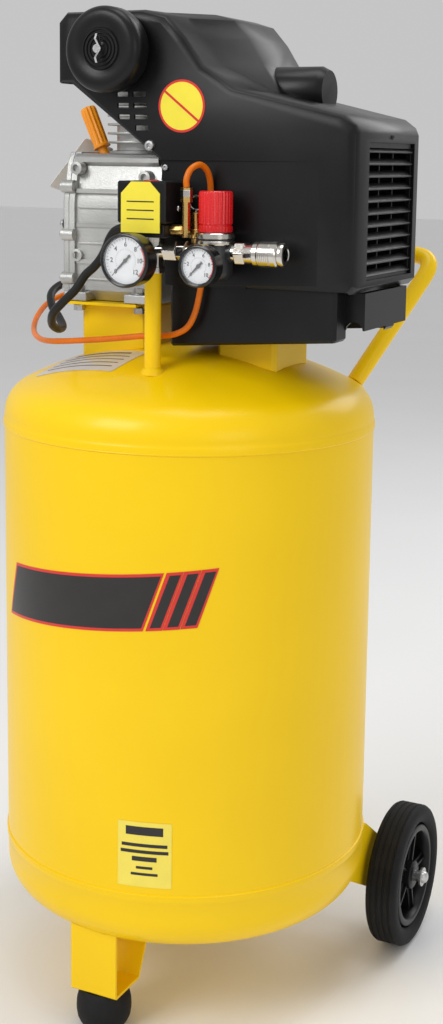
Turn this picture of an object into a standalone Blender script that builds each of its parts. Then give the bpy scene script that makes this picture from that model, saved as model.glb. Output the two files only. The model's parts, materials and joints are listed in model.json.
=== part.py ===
"""Upright air compressor: a tall tank on two wheels and a foot, with a direct-drive piston pump on top.

Metres, +Z up. The front faces -Y, the motor is at +X and the floor is at z = 0. Every measure below is
taken from the tank's own axis, and STAND_Y then moves the whole machine so that the origin is the middle
of its footprint.
"""
import math

import bmesh
import bpy
from mathutils import Matrix, Vector

# ---- driving dimensions -------------------------------------------------------------------------
STAND_Y = -0.02235         # the tank's axis, seen from the middle of the footprint
GAP = 0.0003               # running gap between pieces that touch
SQUARE_END = 0.2           # straight at each end of a bent bar, as a share of its point spacing

TANK_RADIUS = 0.185
TANK_WALL = 0.003
LOWER_SEAM = 0.160
UPPER_SEAM = 0.579
LOWER_APEX = 0.0625
UPPER_APEX = 0.660
CROWN_RADIUS = 0.370       # of a dished head; a smaller knuckle joins it to the straight skirt
KNUCKLE_RADIUS = 0.035
SEAM_BAND = 0.008          # height of the raised lap at each seam
SEAM_STEP = 0.0012
TANK_SIDES = 36

FOOT_X, FOOT_Y = -0.012, -0.149
FOOT_HEIGHT = 0.038
FOOT_RADIUS = 0.027

WHEEL_X, WHEEL_Y = 0.193, 0.142
WHEEL_RADIUS = 0.075
WHEEL_WIDTH = 0.034
AXLE_RADIUS = 0.006

HANDLE_RADIUS = 0.009
HANDLE_FOOT = (0.122, 0.120, 0.600)
HANDLE_CORNER = (0.183, 0.222, 0.741)

SHAFT_Z = 0.785            # axis of the crankshaft, rotor and fan
CYLINDER_X = -0.052
BORE_RADIUS = 0.021
FIN_RADIUS = 0.038
STROKE = 0.034
CRANK_THROW = STROKE / 2
CASE_BOTTOM = 0.7003
CASE_TOP = 0.842
CASE_END_X = -0.106
CASE_MOTOR_X = -0.008
CASE_HALF_WIDTH = 0.054
HEAD_BOTTOM = 0.9173
HEAD_TOP = 0.957

SHROUD_HALF_WIDTH = 0.086
SHROUD_END_X = 0.206
SHROUD_WALL = 0.0025
CREASE_Z = 0.839

POST_X, POST_Y = 0.016, -0.108
POST_RADIUS = 0.0078
MANIFOLD_Z = 0.757
REGULATOR_X = 0.080
COUPLER_START = 0.0985
UNLOADER_X, UNLOADER_Y = 0.0545, -0.1165
SAFETY_X, SAFETY_Y = 0.0575, -0.103

CHECK_X, CHECK_Y = -0.085, 0.075

VALVE_PLATE = 0.005
SIGHT_GLASS_Z = 0.745
OIL_SEAT = (-0.093, -0.006, 0.838)
OIL_TILT = (0, -24, 0)
FILTER_X, FILTER_Z = -0.036, 0.9385
FILTER_BACK = -SHROUD_HALF_WIDTH - GAP

SHROUD_BOTTOM = 0.722
CAPACITOR_Y = 0.022
GRILLE_Y, GRILLE_Z = 0.006, 0.795
# crest of the shroud's hump as (x, z), at the front and at the back
FRONT_TOP = [(-0.010, 0.976), (0.014, 0.970), (0.034, 0.950), (0.052, 0.925), (0.084, 0.904)]
BACK_TOP = [(0.030, 0.976), (0.050, 0.970), (0.066, 0.952), (0.080, 0.930), (0.098, 0.902)]

GLAND_Z = 0.7755
RECESS_DEPTH, RECESS_END = 0.0038, 0.175     # side recess: deepest at x = 0, and run out at its end
TANK_GAUGE = (POST_X - 0.0015, MANIFOLD_Z - 0.0075)      # the dial's centre, as (x, z)
TANK_GAUGE_BACK = POST_Y - 0.0290 - GAP
TANK_GAUGE_RADIUS, TANK_GAUGE_DEPTH = 0.0245, 0.0235
LINE_GAUGE = (REGULATOR_X + 0.0015, 0.7465)
LINE_GAUGE_BACK = POST_Y - 0.0200 - GAP
LINE_GAUGE_RADIUS, LINE_GAUGE_DEPTH = 0.0190, 0.0200

LEAD_DIAMETER = 0.0085
LINE_DIAMETER = 0.0058
# The mains lead: out of the gland, down the crankcase, round the pump end and back under the motor.
LEAD_ROUTE = [(-0.0178, -0.101, GLAND_Z), (-0.0225, -0.1010, 0.7752), (-0.0300, -0.1000, 0.7718),
              (-0.0362, -0.0985, 0.7645), (-0.0412, -0.0970, 0.7550), (-0.0470, -0.0960, 0.7460),
              (-0.0550, -0.0960, 0.7370), (-0.0640, -0.0970, 0.7290),
              (-0.0730, -0.1000, 0.7150), (-0.0870, -0.1010, 0.7020), (-0.1010, -0.0960, 0.6900),
              (-0.1120, -0.0800, 0.6780), (-0.1180, -0.0600, 0.6710), (-0.1250, -0.0400, 0.6710),
              (-0.1400, -0.0230, 0.6780), (-0.1560, -0.0110, 0.6880), (-0.1680, 0.0080, 0.7000),
              (-0.1660, 0.0320, 0.7080), (-0.1480, 0.0500, 0.7050), (-0.1240, 0.0560, 0.6900),
              (-0.1000, 0.0570, 0.6760), (-0.0750, 0.0590, 0.6680), (-0.0450, 0.0600, 0.6680),
              (-0.0200, 0.0570, 0.6760), (-0.0040, 0.0530, 0.6880), (0.0090, 0.0520, 0.6920),
              (0.0177, 0.0520, 0.6920)]

# The nylon line: over the switch, along the front of the tank and round to the check valve.
UNLOADER_ROUTE = [(UNLOADER_X, UNLOADER_Y, 0.8150), (UNLOADER_X, UNLOADER_Y, 0.8225),
                  (0.0570, -0.1130, 0.8310), (0.0610, -0.1030, 0.8350), (0.0640, -0.0935, 0.8290),
                  (0.0645, -0.0880, 0.8150), (0.0640, -0.0870, 0.7900), (0.0600, -0.0870, 0.7600),
                  (0.0570, -0.0875, 0.7350), (0.0540, -0.0880, 0.7150), (0.0500, -0.0890, 0.6980),
                  (0.0430, -0.0900, 0.6850), (0.0310, -0.0910, 0.6780), (0.0160, -0.0910, 0.6755),
                  (-0.0070, -0.0910, 0.6735), (-0.0400, -0.0910, 0.6690), (-0.0740, -0.0890, 0.6650),
                  (-0.1120, -0.0800, 0.6610), (-0.1400, -0.0600, 0.6600), (-0.1660, -0.0300, 0.6640),
                  (-0.1810, 0.0000, 0.6750), (-0.1840, 0.0300, 0.6880), (-0.1700, 0.0570, 0.6960),
                  (-0.1450, 0.0720, 0.6890), (-0.1240, 0.0750, 0.6775), (-0.1120, 0.0750, 0.6760),
                  (-0.1064, 0.0750, 0.6760)]

YELLOW = ("tank_yellow", (0.945, 0.665, 0.010), 0.30, 0.0)
BLACK_PLASTIC = ("black_plastic", (0.022, 0.022, 0.024), 0.45, 0.0)
RUBBER = ("rubber", (0.018, 0.018, 0.018), 0.75, 0.0)
CAST_ALUMINIUM = ("cast_aluminium", (0.62, 0.62, 0.61), 0.42, 0.9)
STEEL = ("steel", (0.45, 0.45, 0.46), 0.35, 1.0)
NICKEL = ("nickel", (0.62, 0.60, 0.56), 0.22, 1.0)
BRASS = ("brass", (0.70, 0.48, 0.18), 0.28, 1.0)
COPPER = ("copper", (0.72, 0.38, 0.24), 0.32, 1.0)
RED_PLASTIC = ("red_plastic", (0.70, 0.010, 0.012), 0.35, 0.0)
ORANGE_PLASTIC = ("orange_plastic", (0.86, 0.24, 0.012), 0.35, 0.0)
DARK_METAL = ("dark_metal", (0.05, 0.05, 0.052), 0.40, 0.6)


# ---- building tools -----------------------------------------------------------------------------
def clear_scene():
    for old in list(bpy.data.objects):
        bpy.data.objects.remove(old, do_unlink=True)


def material(finish):
    name, colour, roughness, metallic = finish
    made = bpy.data.materials.get(name)
    if made is None:
        made = bpy.data.materials.new(name)
        made.use_nodes = True
        shader = made.node_tree.nodes["Principled BSDF"]
        shader.inputs["Base Color"].default_value = (*colour, 1.0)
        shader.inputs["Roughness"].default_value = roughness
        shader.inputs["Metallic"].default_value = metallic
        made.diffuse_color = (*colour, 1.0)
    return made


def add_piece(name, bm, finish, location=(0, 0, 0), rotation=(0, 0, 0), crease_angle=35):
    """A named object from a bmesh, placed in the tank's frame."""
    bmesh.ops.recalc_face_normals(bm, faces=bm.faces)
    mesh = bpy.data.meshes.new(name)
    bm.to_mesh(mesh)
    bm.free()
    mesh.shade_smooth()
    mesh.set_sharp_from_angle(angle=math.radians(crease_angle))
    piece = bpy.data.objects.new(name, mesh)
    bpy.context.scene.collection.objects.link(piece)
    piece.parent = STAND
    piece.location = location
    piece.rotation_euler = [math.radians(angle) for angle in rotation]
    if finish is not None:
        mesh.materials.append(material(finish))
    return piece


def add_tool(name, bm, location=(0, 0, 0), rotation=(0, 0, 0)):
    """A hidden solid that cuts a piece or is fused to it."""
    tool = add_piece(name, bm, None, location, rotation)
    tool.hide_render = True
    tool.display_type = "WIRE"
    return tool


def combine(piece, tools, operation):
    for tool in tools:
        step = piece.modifiers.new(f"{operation.lower()}_{tool.name}", "BOOLEAN")
        step.operation = operation
        step.object = tool
    return piece


def cut(piece, *tools):
    return combine(piece, tools, "DIFFERENCE")


def fuse(piece, *tools):
    return combine(piece, tools, "UNION")


def block(size, bevel=0.0):
    """A box centred on its own origin."""
    bm = bmesh.new()
    bmesh.ops.create_cube(bm, size=1.0, matrix=Matrix.Diagonal((*size, 1.0)))
    if bevel:
        bmesh.ops.bevel(bm, geom=bm.edges[:], offset=bevel, segments=1, profile=0.5, affect="EDGES")
    return bm


def turned(outline, sides=32):
    """Turn (radius, height) points about Z. The outline ends on the axis, or closes on itself."""
    bm = bmesh.new()
    rings = []
    for radius, height in outline:
        if radius == 0:
            rings.append([bm.verts.new((0, 0, height))])
            continue
        turn = [2 * math.pi * side / sides for side in range(sides)]
        rings.append([bm.verts.new((radius * math.cos(a), radius * math.sin(a), height)) for a in turn])
    pairs = list(zip(rings, rings[1:]))
    if outline[0][0] != 0:
        pairs.append((rings[-1], rings[0]))
    for lower, upper in pairs:
        for side in range(sides):
            after = (side + 1) % sides
            if len(lower) == 1:
                bm.faces.new((lower[0], upper[after], upper[side]))
            elif len(upper) == 1:
                bm.faces.new((lower[side], lower[after], upper[0]))
            else:
                bm.faces.new((lower[side], lower[after], upper[after], upper[side]))
    return bm


def rod(radius, length, sides=20, chamfer=0.0):
    """A round bar from z = 0 upwards."""
    if not chamfer:
        return turned([(0, 0), (radius, 0), (radius, length), (0, length)], sides)
    inner = radius - chamfer
    return turned([(0, 0), (inner, 0), (radius, chamfer), (radius, length - chamfer),
                   (inner, length), (0, length)], sides)


def pipe_ring(outer, inner, length, sides=32):
    """A plain tube from z = 0 upwards."""
    return turned([(outer, 0), (outer, length), (inner, length), (inner, 0)], sides)


def slab(outline, thickness, bevel=0.0):
    """An outline in XY made thick along Z, from z = 0 upwards."""
    bm = bmesh.new()
    face = bm.faces.new([bm.verts.new((x, y, 0)) for x, y in outline])
    solid = bmesh.ops.extrude_face_region(bm, geom=[face])
    moved = [part for part in solid["geom"] if isinstance(part, bmesh.types.BMVert)]
    bmesh.ops.translate(bm, verts=moved, vec=(0, 0, thickness))
    if bevel:
        bmesh.ops.bevel(bm, geom=bm.edges[:], offset=bevel, segments=1, profile=0.5, affect="EDGES")
    return bm


def loft(sections):
    """Skin a row of closed outlines that have equal numbers of points, and cap both ends."""
    bm = bmesh.new()
    rings = [[bm.verts.new(point) for point in section] for section in sections]
    count = len(rings[0])
    for near, far in zip(rings, rings[1:]):
        for place in range(count):
            after = (place + 1) % count
            bm.faces.new((near[place], near[after], far[after], far[place]))
    bm.faces.new(rings[0])
    bm.faces.new(rings[-1])
    return bm


def smooth_route(points, spacing):
    """Even points along a Catmull-Rom curve through a route's points, straight for a little at each end."""
    route = [Vector(point) for point in points]
    padded = [2 * route[0] - route[1], *route, 2 * route[-1] - route[-2]]
    fine = []
    for before, start, end, after in zip(padded, padded[1:], padded[2:], padded[3:]):
        for step in range(24):
            t = step / 24
            fine.append(0.5 * (2 * start + (end - before) * t
                               + (2 * before - 5 * start + 4 * end - after) * t ** 2
                               + (3 * start - before - 3 * end + after) * t ** 3))
    fine.append(route[-1])
    travelled = [0.0]
    for start, end in zip(fine, fine[1:]):
        travelled.append(travelled[-1] + (end - start).length)
    count = max(2, round(travelled[-1] / spacing))
    even, index = [], 0
    for number in range(count + 1):
        target = travelled[-1] * number / count
        while index < len(fine) - 2 and travelled[index + 1] < target:
            index += 1
        span = travelled[index + 1] - travelled[index]
        even.append(fine[index].lerp(fine[index + 1], (target - travelled[index]) / span))
    even.insert(1, route[0] + (route[1] - route[0]).normalized() * spacing * SQUARE_END)
    even.insert(-1, route[-1] + (route[-2] - route[-1]).normalized() * spacing * SQUARE_END)
    return even


def swept(points, radius, sides=12):
    """A round bar bent along points, with flat ends."""
    bm = bmesh.new()
    rings = []
    across = (points[1] - points[0]).orthogonal().normalized()
    for place, point in enumerate(points):
        before = points[max(place - 1, 0)]
        after = points[min(place + 1, len(points) - 1)]
        along = (after - before).normalized()
        across = (across - along * across.dot(along)).normalized()
        up = along.cross(across)
        rings.append([bm.verts.new(point + radius * (across * math.cos(turn) + up * math.sin(turn)))
                      for turn in (2 * math.pi * side / sides for side in range(sides))])
    for near, far in zip(rings, rings[1:]):
        for side in range(sides):
            after = (side + 1) % sides
            bm.faces.new((near[side], near[after], far[after], far[side]))
    bm.faces.new(rings[0])
    bm.faces.new(rings[-1])
    return bm


def add_cord(name, route, diameter, finish, roundness):
    """A cord as a bevelled curve along a smooth route."""
    curve = bpy.data.curves.new(name, "CURVE")
    curve.dimensions = "3D"
    curve.bevel_depth = diameter / 2
    curve.bevel_resolution = roundness
    curve.use_fill_caps = True
    points = smooth_route(route, 3 * diameter)
    spline = curve.splines.new("POLY")
    spline.points.add(len(points) - 1)
    for target, point in zip(spline.points, points):
        target.co = (*point, 1.0)
    cord = bpy.data.objects.new(name, curve)
    bpy.context.scene.collection.objects.link(cord)
    cord.parent = STAND
    curve.materials.append(material(finish))
    return cord


def arc(centre, radius, start, end, steps):
    """Points on an arc, with its angles in degrees."""
    return [(centre[0] + radius * math.cos(math.radians(start + (end - start) * step / steps)),
             centre[1] + radius * math.sin(math.radians(start + (end - start) * step / steps)))
            for step in range(steps + 1)]


def hexagon(across_flats):
    return [(across_flats / math.sqrt(3) * math.cos(math.radians(30 + 60 * corner)),
             across_flats / math.sqrt(3) * math.sin(math.radians(30 + 60 * corner))) for corner in range(6)]


# ---- tank ---------------------------------------------------------------------------------------
def dished_outline(offset=0.0, height=UPPER_APEX - UPPER_SEAM, steps=3):
    """Outer outline of a dished head, from the rim up to the apex, as (radius, height above seam)."""
    crown = CROWN_RADIUS + offset
    knuckle = KNUCKLE_RADIUS + offset
    apex = height + offset
    centre_radius = TANK_RADIUS - KNUCKLE_RADIUS
    crown_centre = apex - crown
    centre_height = crown_centre + math.sqrt((crown - knuckle) ** 2 - centre_radius ** 2)
    meeting = math.degrees(math.atan2(centre_height - crown_centre, centre_radius))
    turn = arc((centre_radius, centre_height), knuckle, 0, meeting, steps)
    slopes = [math.radians(meeting + (90 - meeting) * step / steps) for step in range(1, steps)]
    crown_points = [(crown * math.cos(slope), crown_centre + crown * math.sin(slope)) for slope in slopes]
    return [*turn, *crown_points, (0, apex)]


def head_solid(name, finish, up, height, seam):
    """A dished head with a skin of one thickness and a raised lap at the seam."""
    outside = dished_outline(0.0, height)
    inside = dished_outline(-TANK_WALL, height, 2)
    lap = TANK_RADIUS + SEAM_STEP
    rim = [(TANK_RADIUS - TANK_WALL, GAP), (lap, GAP), (lap, SEAM_BAND - 0.002), (TANK_RADIUS, SEAM_BAND)]
    turn = (0 if up else 180, 0, 0)
    outline = [*reversed(inside), *rim, *outside]
    return add_piece(name, turned(outline, TANK_SIDES), finish, (0, 0, seam), turn)


def head_envelope(name, up, height, seam):
    """The solid that a head and a gap round it fill, used to cut what stands on the head."""
    outline = [(0, -0.10), (TANK_RADIUS + GAP, -0.10), *dished_outline(GAP, height)]
    return add_tool(name, turned(outline, TANK_SIDES), (0, 0, seam), (0 if up else 180, 0, 0))


def make_tank():
    body = UPPER_SEAM - LOWER_SEAM
    add_piece("tank_shell", pipe_ring(TANK_RADIUS, TANK_RADIUS - TANK_WALL, body, TANK_SIDES), YELLOW,
              (0, 0, LOWER_SEAM))
    upper = head_solid("upper_head", YELLOW, True, UPPER_APEX - UPPER_SEAM, UPPER_SEAM)
    lower = head_solid("lower_head", YELLOW, False, LOWER_SEAM - LOWER_APEX, LOWER_SEAM)
    outlet = add_tool("outlet_hole", rod(0.0055, 0.060), (POST_X, POST_Y, 0.61))
    inlet = add_tool("inlet_hole", rod(0.0055, 0.060), (CHECK_X, CHECK_Y, 0.60))
    cut(upper, outlet, inlet)
    cut(lower, add_tool("drain_hole", rod(0.0065, 0.060), (0, 0, 0.04)))


# ---- stand: foot, wheels and handle -------------------------------------------------------------
def make_foot():
    """A strap bent into a U and welded under the tank, open at both sides, with the rubber foot below."""
    width, plate, top = 0.050, 0.003, 0.130
    base, front, back, lean = FOOT_HEIGHT + GAP, -0.021, 0.027, 0.042
    fold = 0.002
    outline = [(front, top), (front, base + fold), (front + fold, base), (back - fold, base),
               (back, base + fold), (back + lean, top), (back + lean - plate, top),
               (back - plate, base + plate), (front + plate, base + plate), (front + plate, top)]
    bracket = add_piece("foot_bracket", slab(outline, width), YELLOW,
                        (FOOT_X - width / 2, FOOT_Y, 0), (90, 0, 90))
    cut(bracket, LOWER_ENVELOPE)
    cut(bracket, add_tool("foot_bolt_hole", rod(0.0045, 0.02), (FOOT_X, FOOT_Y, FOOT_HEIGHT - 0.005)))
    rubber = [(0, 0), (0.017, 0), (0.0225, 0.003), (0.0262, 0.010), (FOOT_RADIUS, 0.018),
              (0.0262, 0.028), (0.0235, FOOT_HEIGHT - 0.002), (0.0215, FOOT_HEIGHT), (0, FOOT_HEIGHT)]
    add_piece("foot_rubber", turned(rubber, 20), RUBBER, (FOOT_X, FOOT_Y, 0))


def make_wheel_brackets():
    """Each bracket is a plate beside the wheel with a folded lip, welded under the tank."""
    plate = 0.004
    outline = [(0.040, 0.150), (0.040, 0.105), (WHEEL_Y - 0.025, 0.062), (WHEEL_Y + 0.012, 0.059),
               (WHEEL_Y + 0.020, 0.068), (WHEEL_Y + 0.020, 0.090), (WHEEL_Y + 0.012, 0.100),
               (0.085, 0.150)]
    for side, name in ((-1, "left"), (1, "right")):
        x = side * 0.168
        bracket = add_piece(f"wheel_bracket_{name}", slab(outline, plate), YELLOW,
                            (x - plate / 2, 0, 0), (90, 0, 90))
        lip = add_tool(f"wheel_bracket_lip_{name}", block((0.030, 0.105, plate)),
                       (x - side * 0.013, 0.0995, 0.085), (-21, 0, 0))
        hole = add_tool(f"axle_hole_{name}", rod(AXLE_RADIUS + GAP, 0.10),
                        (x - 0.05, WHEEL_Y, WHEEL_RADIUS), (0, 90, 0))
        fuse(bracket, lip)
        cut(bracket, LOWER_ENVELOPE, SHELL_ENVELOPE, hole)
    length = 2 * (WHEEL_X + WHEEL_WIDTH / 2 + 0.004)
    add_piece("wheel_axle", rod(AXLE_RADIUS, length, 16), STEEL,
              (-length / 2, WHEEL_Y, WHEEL_RADIUS), (0, 90, 0))


def make_wheels():
    half = WHEEL_WIDTH / 2
    tread = [(0.0555, -0.013), (0.0600, -0.0165), (0.0700, -0.0170), (0.0735, -0.0145),
             (WHEEL_RADIUS, -0.0095), (WHEEL_RADIUS, 0.0095), (0.0735, 0.0145), (0.0700, 0.0170),
             (0.0600, 0.0165), (0.0555, 0.013)]
    rim = [(0.0546, -0.0125), (0.0546, 0.0125), (0.0500, 0.0150), (0.0465, 0.0140), (0.0465, -0.0140),
           (0.0500, -0.0150)]
    for side, name in ((-1, "left"), (1, "right")):
        centre = (side * WHEEL_X, WHEEL_Y, WHEEL_RADIUS)
        turn = (0, 90 * side, 0)
        add_piece(f"tyre_{name}", turned(tread, 24), RUBBER, centre, turn)
        wheel = add_piece(f"rim_{name}", turned(rim, 20), BLACK_PLASTIC, centre, turn)
        hub = add_tool(f"hub_{name}", rod(0.0150, 2 * half - 0.006, 16),
                       (side * (WHEEL_X - half + 0.003), WHEEL_Y, WHEEL_RADIUS), turn)
        fuse(wheel, hub)
        for spoke in range(5):
            angle = 90 + 72 * spoke
            middle = 0.031
            place = (side * WHEEL_X, WHEEL_Y + middle * math.cos(math.radians(angle)),
                     WHEEL_RADIUS + middle * math.sin(math.radians(angle)))
            fuse(wheel, add_tool(f"spoke_{name}_{spoke}", block((0.016, 0.040, 0.011)), place,
                                 (angle, 0, 0)))
        bore = add_tool(f"hub_bore_{name}", rod(AXLE_RADIUS + 0.0002, 0.06, 16),
                        (side * WHEEL_X - 0.03, WHEEL_Y, WHEEL_RADIUS), (0, 90, 0))
        cut(wheel, bore)
        nut = [(0, 0.0055), (0.003, 0.0052), (0.0055, 0.0035), (0.0065, 0), (0.0100, 0),
               (0.0100, -0.0022), (0, -0.0022)]
        nut_face = side * (WHEEL_X + half + 0.004 + 0.0022 + GAP)
        add_piece(f"hub_nut_{name}", turned(nut, 12), STEEL, (nut_face, WHEEL_Y, WHEEL_RADIUS), turn)


def make_handle():
    foot, corner = Vector(HANDLE_FOOT), Vector(HANDLE_CORNER)
    leg = (corner - foot).normalized()
    bend = 0.030
    across = Vector((-1, 0, 0))
    right = [foot, corner - leg * bend, corner + (across - leg) * bend * 0.30, corner + across * bend]
    rounding = []
    for step in range(7):
        t = step / 6
        rounding.append((1 - t) ** 2 * right[1] + 2 * t * (1 - t) * corner + t ** 2 * right[3])
    half = [foot, *rounding]
    mirrored = [Vector((-point.x, point.y, point.z)) for point in reversed(half)]
    handle = add_piece("handle", swept([*half, *mirrored], HANDLE_RADIUS, 12), YELLOW)
    cut(handle, UPPER_ENVELOPE)


# ---- saddles under the pump ---------------------------------------------------------------------
def make_saddles():
    plate = 0.003
    top = CASE_BOTTOM - GAP
    saddle = add_piece("pump_saddle", block((0.086, 0.128, plate)), YELLOW,
                       (-0.070, 0, top - plate / 2))
    pedestal = add_tool("pump_pedestal", block((0.074, 0.100, 0.080), 0.004),
                        (-0.060, 0, top - 0.0405))
    hollow = add_tool("pump_pedestal_inside", block((0.068, 0.094, 0.120)), (-0.060, 0, top - 0.063))
    fuse(saddle, pedestal)
    cut(saddle, hollow, UPPER_ENVELOPE)
    ledge = 0.7225
    support = add_piece("motor_saddle", block((0.062, 0.080, 0.100), 0.004), YELLOW,
                        (0.080, 0, ledge - 0.050))
    inside = add_tool("motor_saddle_inside", block((0.056, 0.074, 0.120)), (0.080, 0, ledge - 0.063))
    cut(support, inside, UPPER_ENVELOPE)


# ---- pump ---------------------------------------------------------------------------------------
def case_section(x, narrow=0.0):
    """Outline of the crankcase across the shaft: a wide sump, sloped shoulders and a flat top."""
    low = CASE_BOTTOM + 0.0006 + max(narrow, -0.0006)
    high = CASE_TOP - narrow
    wide = CASE_HALF_WIDTH - narrow
    right = [(wide - 0.006, low), (wide, low + 0.010), (wide, SHAFT_Z + 0.012),
             (wide - 0.008, high - 0.010), (wide - 0.014, high)]
    left = [(-y, z) for y, z in reversed(right)]
    return [(x, y, z) for y, z in right + left]


def make_crankcase():
    rim = CASE_END_X + 0.006
    case = add_piece("crankcase", loft([case_section(CASE_END_X, -0.0035), case_section(rim, -0.0035),
                                        case_section(rim), case_section(CASE_MOTOR_X)]), CAST_ALUMINIUM)
    motor_flange = add_tool("case_motor_flange", rod(0.0600, 0.010, 20),
                            (CASE_MOTOR_X - 0.004, 0, SHAFT_Z), (0, 90, 0))
    fuse(case, motor_flange)
    for number, (z, y) in enumerate(((0.739, -1), (0.775, -1), (0.808, -1), (0.739, 1), (0.775, 1),
                                     (0.808, 1))):
        rib = block((0.0870, 0.006, 0.004))
        fuse(case, add_tool(f"case_rib_{number}", rib, (-0.0550, y * (CASE_HALF_WIDTH - 0.0007), z)))
    for side in (-1, 1):
        fuse(case, add_tool(f"case_tube_{side}", rod(0.0065, 0.0935, 10),
                            (CASE_END_X + 0.0015, side * 0.043, CASE_TOP - 0.004), (0, 90, 0)))
    cavity = add_tool("case_cavity", block((0.089, 0.090, 0.122), 0.006),
                      (CASE_END_X - 0.006 + 0.0445, 0, 0.769))
    shaft_hole = add_tool("case_shaft_hole", rod(0.0081, 0.10, 12), (-0.05, 0, SHAFT_Z), (0, 90, 0))
    bore = add_tool("case_bore", rod(BORE_RADIUS + 0.0035, 0.06, 16), (CYLINDER_X, 0, 0.80))
    hole = [(0, -0.03), (0.0055, -0.03), (0.0055, 0.03), (0, 0.03)]
    oil_hole = add_tool("case_oil_hole", turned(hole, 12), OIL_SEAT, OIL_TILT)
    cut(case, cavity, shaft_hole, bore, oil_hole)


def make_end_cover():
    thick = 0.012
    outer = CASE_END_X - GAP
    cover = add_piece("end_cover", loft([case_section(outer, -0.0035), case_section(outer - 0.006, -0.0035),
                                         case_section(outer - thick, 0.006)]), CAST_ALUMINIUM)
    boss = add_tool("cover_boss", rod(0.022, 0.012, 16), (outer - 0.016, 0, SHAFT_Z), (0, 90, 0))
    fuse(cover, boss)
    relief = add_tool("cover_relief", block((0.010, 0.084, 0.112), 0.004), (outer - 0.003, 0, 0.770))
    window = add_tool("cover_window", rod(0.0105, 0.05, 14), (outer - 0.03, 0, SIGHT_GLASS_Z), (0, 90, 0))
    cut(cover, relief, window)
    glass = [(0, 0), (0.0100, 0), (0.0100, 0.0085), (0.0135, 0.0085), (0.0135, 0.0120), (0.0110, 0.0150),
             (0, 0.0155)]
    add_piece("sight_glass", turned(glass, 14), NICKEL,
              (outer - thick + 0.0082, 0, SIGHT_GLASS_Z), (0, -90, 0))


def make_cylinder():
    base = CASE_TOP + GAP
    top = HEAD_BOTTOM - VALVE_PLATE - GAP
    outline = [(BORE_RADIUS, base - 0.006), (BORE_RADIUS + 0.003, base - 0.006),
               (BORE_RADIUS + 0.003, base), (0.036, base), (0.036, base + 0.005)]
    fins = 3
    pitch = (top - base - 0.009) / fins
    for fin in range(fins):
        low = base + 0.006 + fin * pitch
        outline += [(0.029, low), (0.029, low + pitch - 0.0025), (FIN_RADIUS, low + pitch - 0.0022),
                    (FIN_RADIUS, low + pitch)]
    outline += [(FIN_RADIUS, top), (BORE_RADIUS, top)]
    add_piece("cylinder", turned(outline, 16), CAST_ALUMINIUM, (CYLINDER_X, 0, 0))


def make_head():
    width, depth = 0.086, 0.092
    add_piece("valve_plate", block((width, depth, VALVE_PLATE - GAP), 0.0008), STEEL,
              (CYLINDER_X + 0.003, 0, HEAD_BOTTOM - VALVE_PLATE / 2))
    head = add_piece("cylinder_head", block((width, depth, HEAD_TOP - HEAD_BOTTOM), 0.003),
                     CAST_ALUMINIUM, (CYLINDER_X + 0.003, 0, (HEAD_TOP + HEAD_BOTTOM) / 2 + GAP / 2))
    intake = add_tool("head_intake", rod(0.014, 0.045, 16), (FILTER_X, -0.040, FILTER_Z), (90, 0, 0))
    outlet = add_tool("head_outlet", rod(0.009, 0.010, 12), (CYLINDER_X, 0.040, 0.938), (-90, 0, 0))
    fuse(head, intake, outlet)
    bore = add_tool("head_intake_bore", rod(0.009, 0.060, 12), (FILTER_X, -0.030, FILTER_Z), (90, 0, 0))
    cut(head, bore)
    for number in range(4):
        groove = add_tool(f"head_groove_{number}", block((0.005, 0.120, 0.018)),
                          (CYLINDER_X - 0.028 + number * 0.0205, 0, HEAD_TOP))
        cut(head, groove)


def make_filter():
    """A round intake canister on the front of the head: body, lid and wing nut."""
    body = [(0.0135, -0.001), (0.0300, -0.001), (0.0393, 0.004), (0.0393, 0.0200), (0.0365, 0.0200),
            (0.0365, 0.0060), (0.0290, 0.0020), (0.0135, 0.0020)]
    place = (FILTER_X, FILTER_BACK - 0.0012, FILTER_Z)
    facing = (90, 0, 0)
    add_piece("filter_body", turned(body, 20), BLACK_PLASTIC, place, facing)
    lid = [(0, 0.0155), (0.0360, 0.0155), (0.0360, 0.0203), (0.0393, 0.0203), (0.0393, 0.0225),
           (0.0375, 0.0272), (0.0320, 0.0305), (0.0120, 0.0305), (0.0110, 0.0285), (0, 0.0285)]
    add_piece("filter_lid", turned(lid, 20), BLACK_PLASTIC, place, facing)
    wings = [(-0.0130, -0.0060), (-0.0085, -0.0085), (-0.0030, -0.0030), (0.0030, -0.0030),
             (0.0085, -0.0085), (0.0130, -0.0060), (0.0080, 0.0000), (0.0035, 0.0010),
             (-0.0035, 0.0010), (-0.0080, 0.0000)]
    nut = add_piece("wing_nut", rod(0.0042, 0.0070, 16, 0.0006), STEEL,
                    (FILTER_X, FILTER_BACK - 0.0012 - 0.0288, FILTER_Z), facing)
    wing = slab(wings, 0.0020)
    fuse(nut, add_tool("wing_nut_wings", wing, (FILTER_X + 0.0010, FILTER_BACK - 0.0340, FILTER_Z),
                       (0, 90, 0)))


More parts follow.
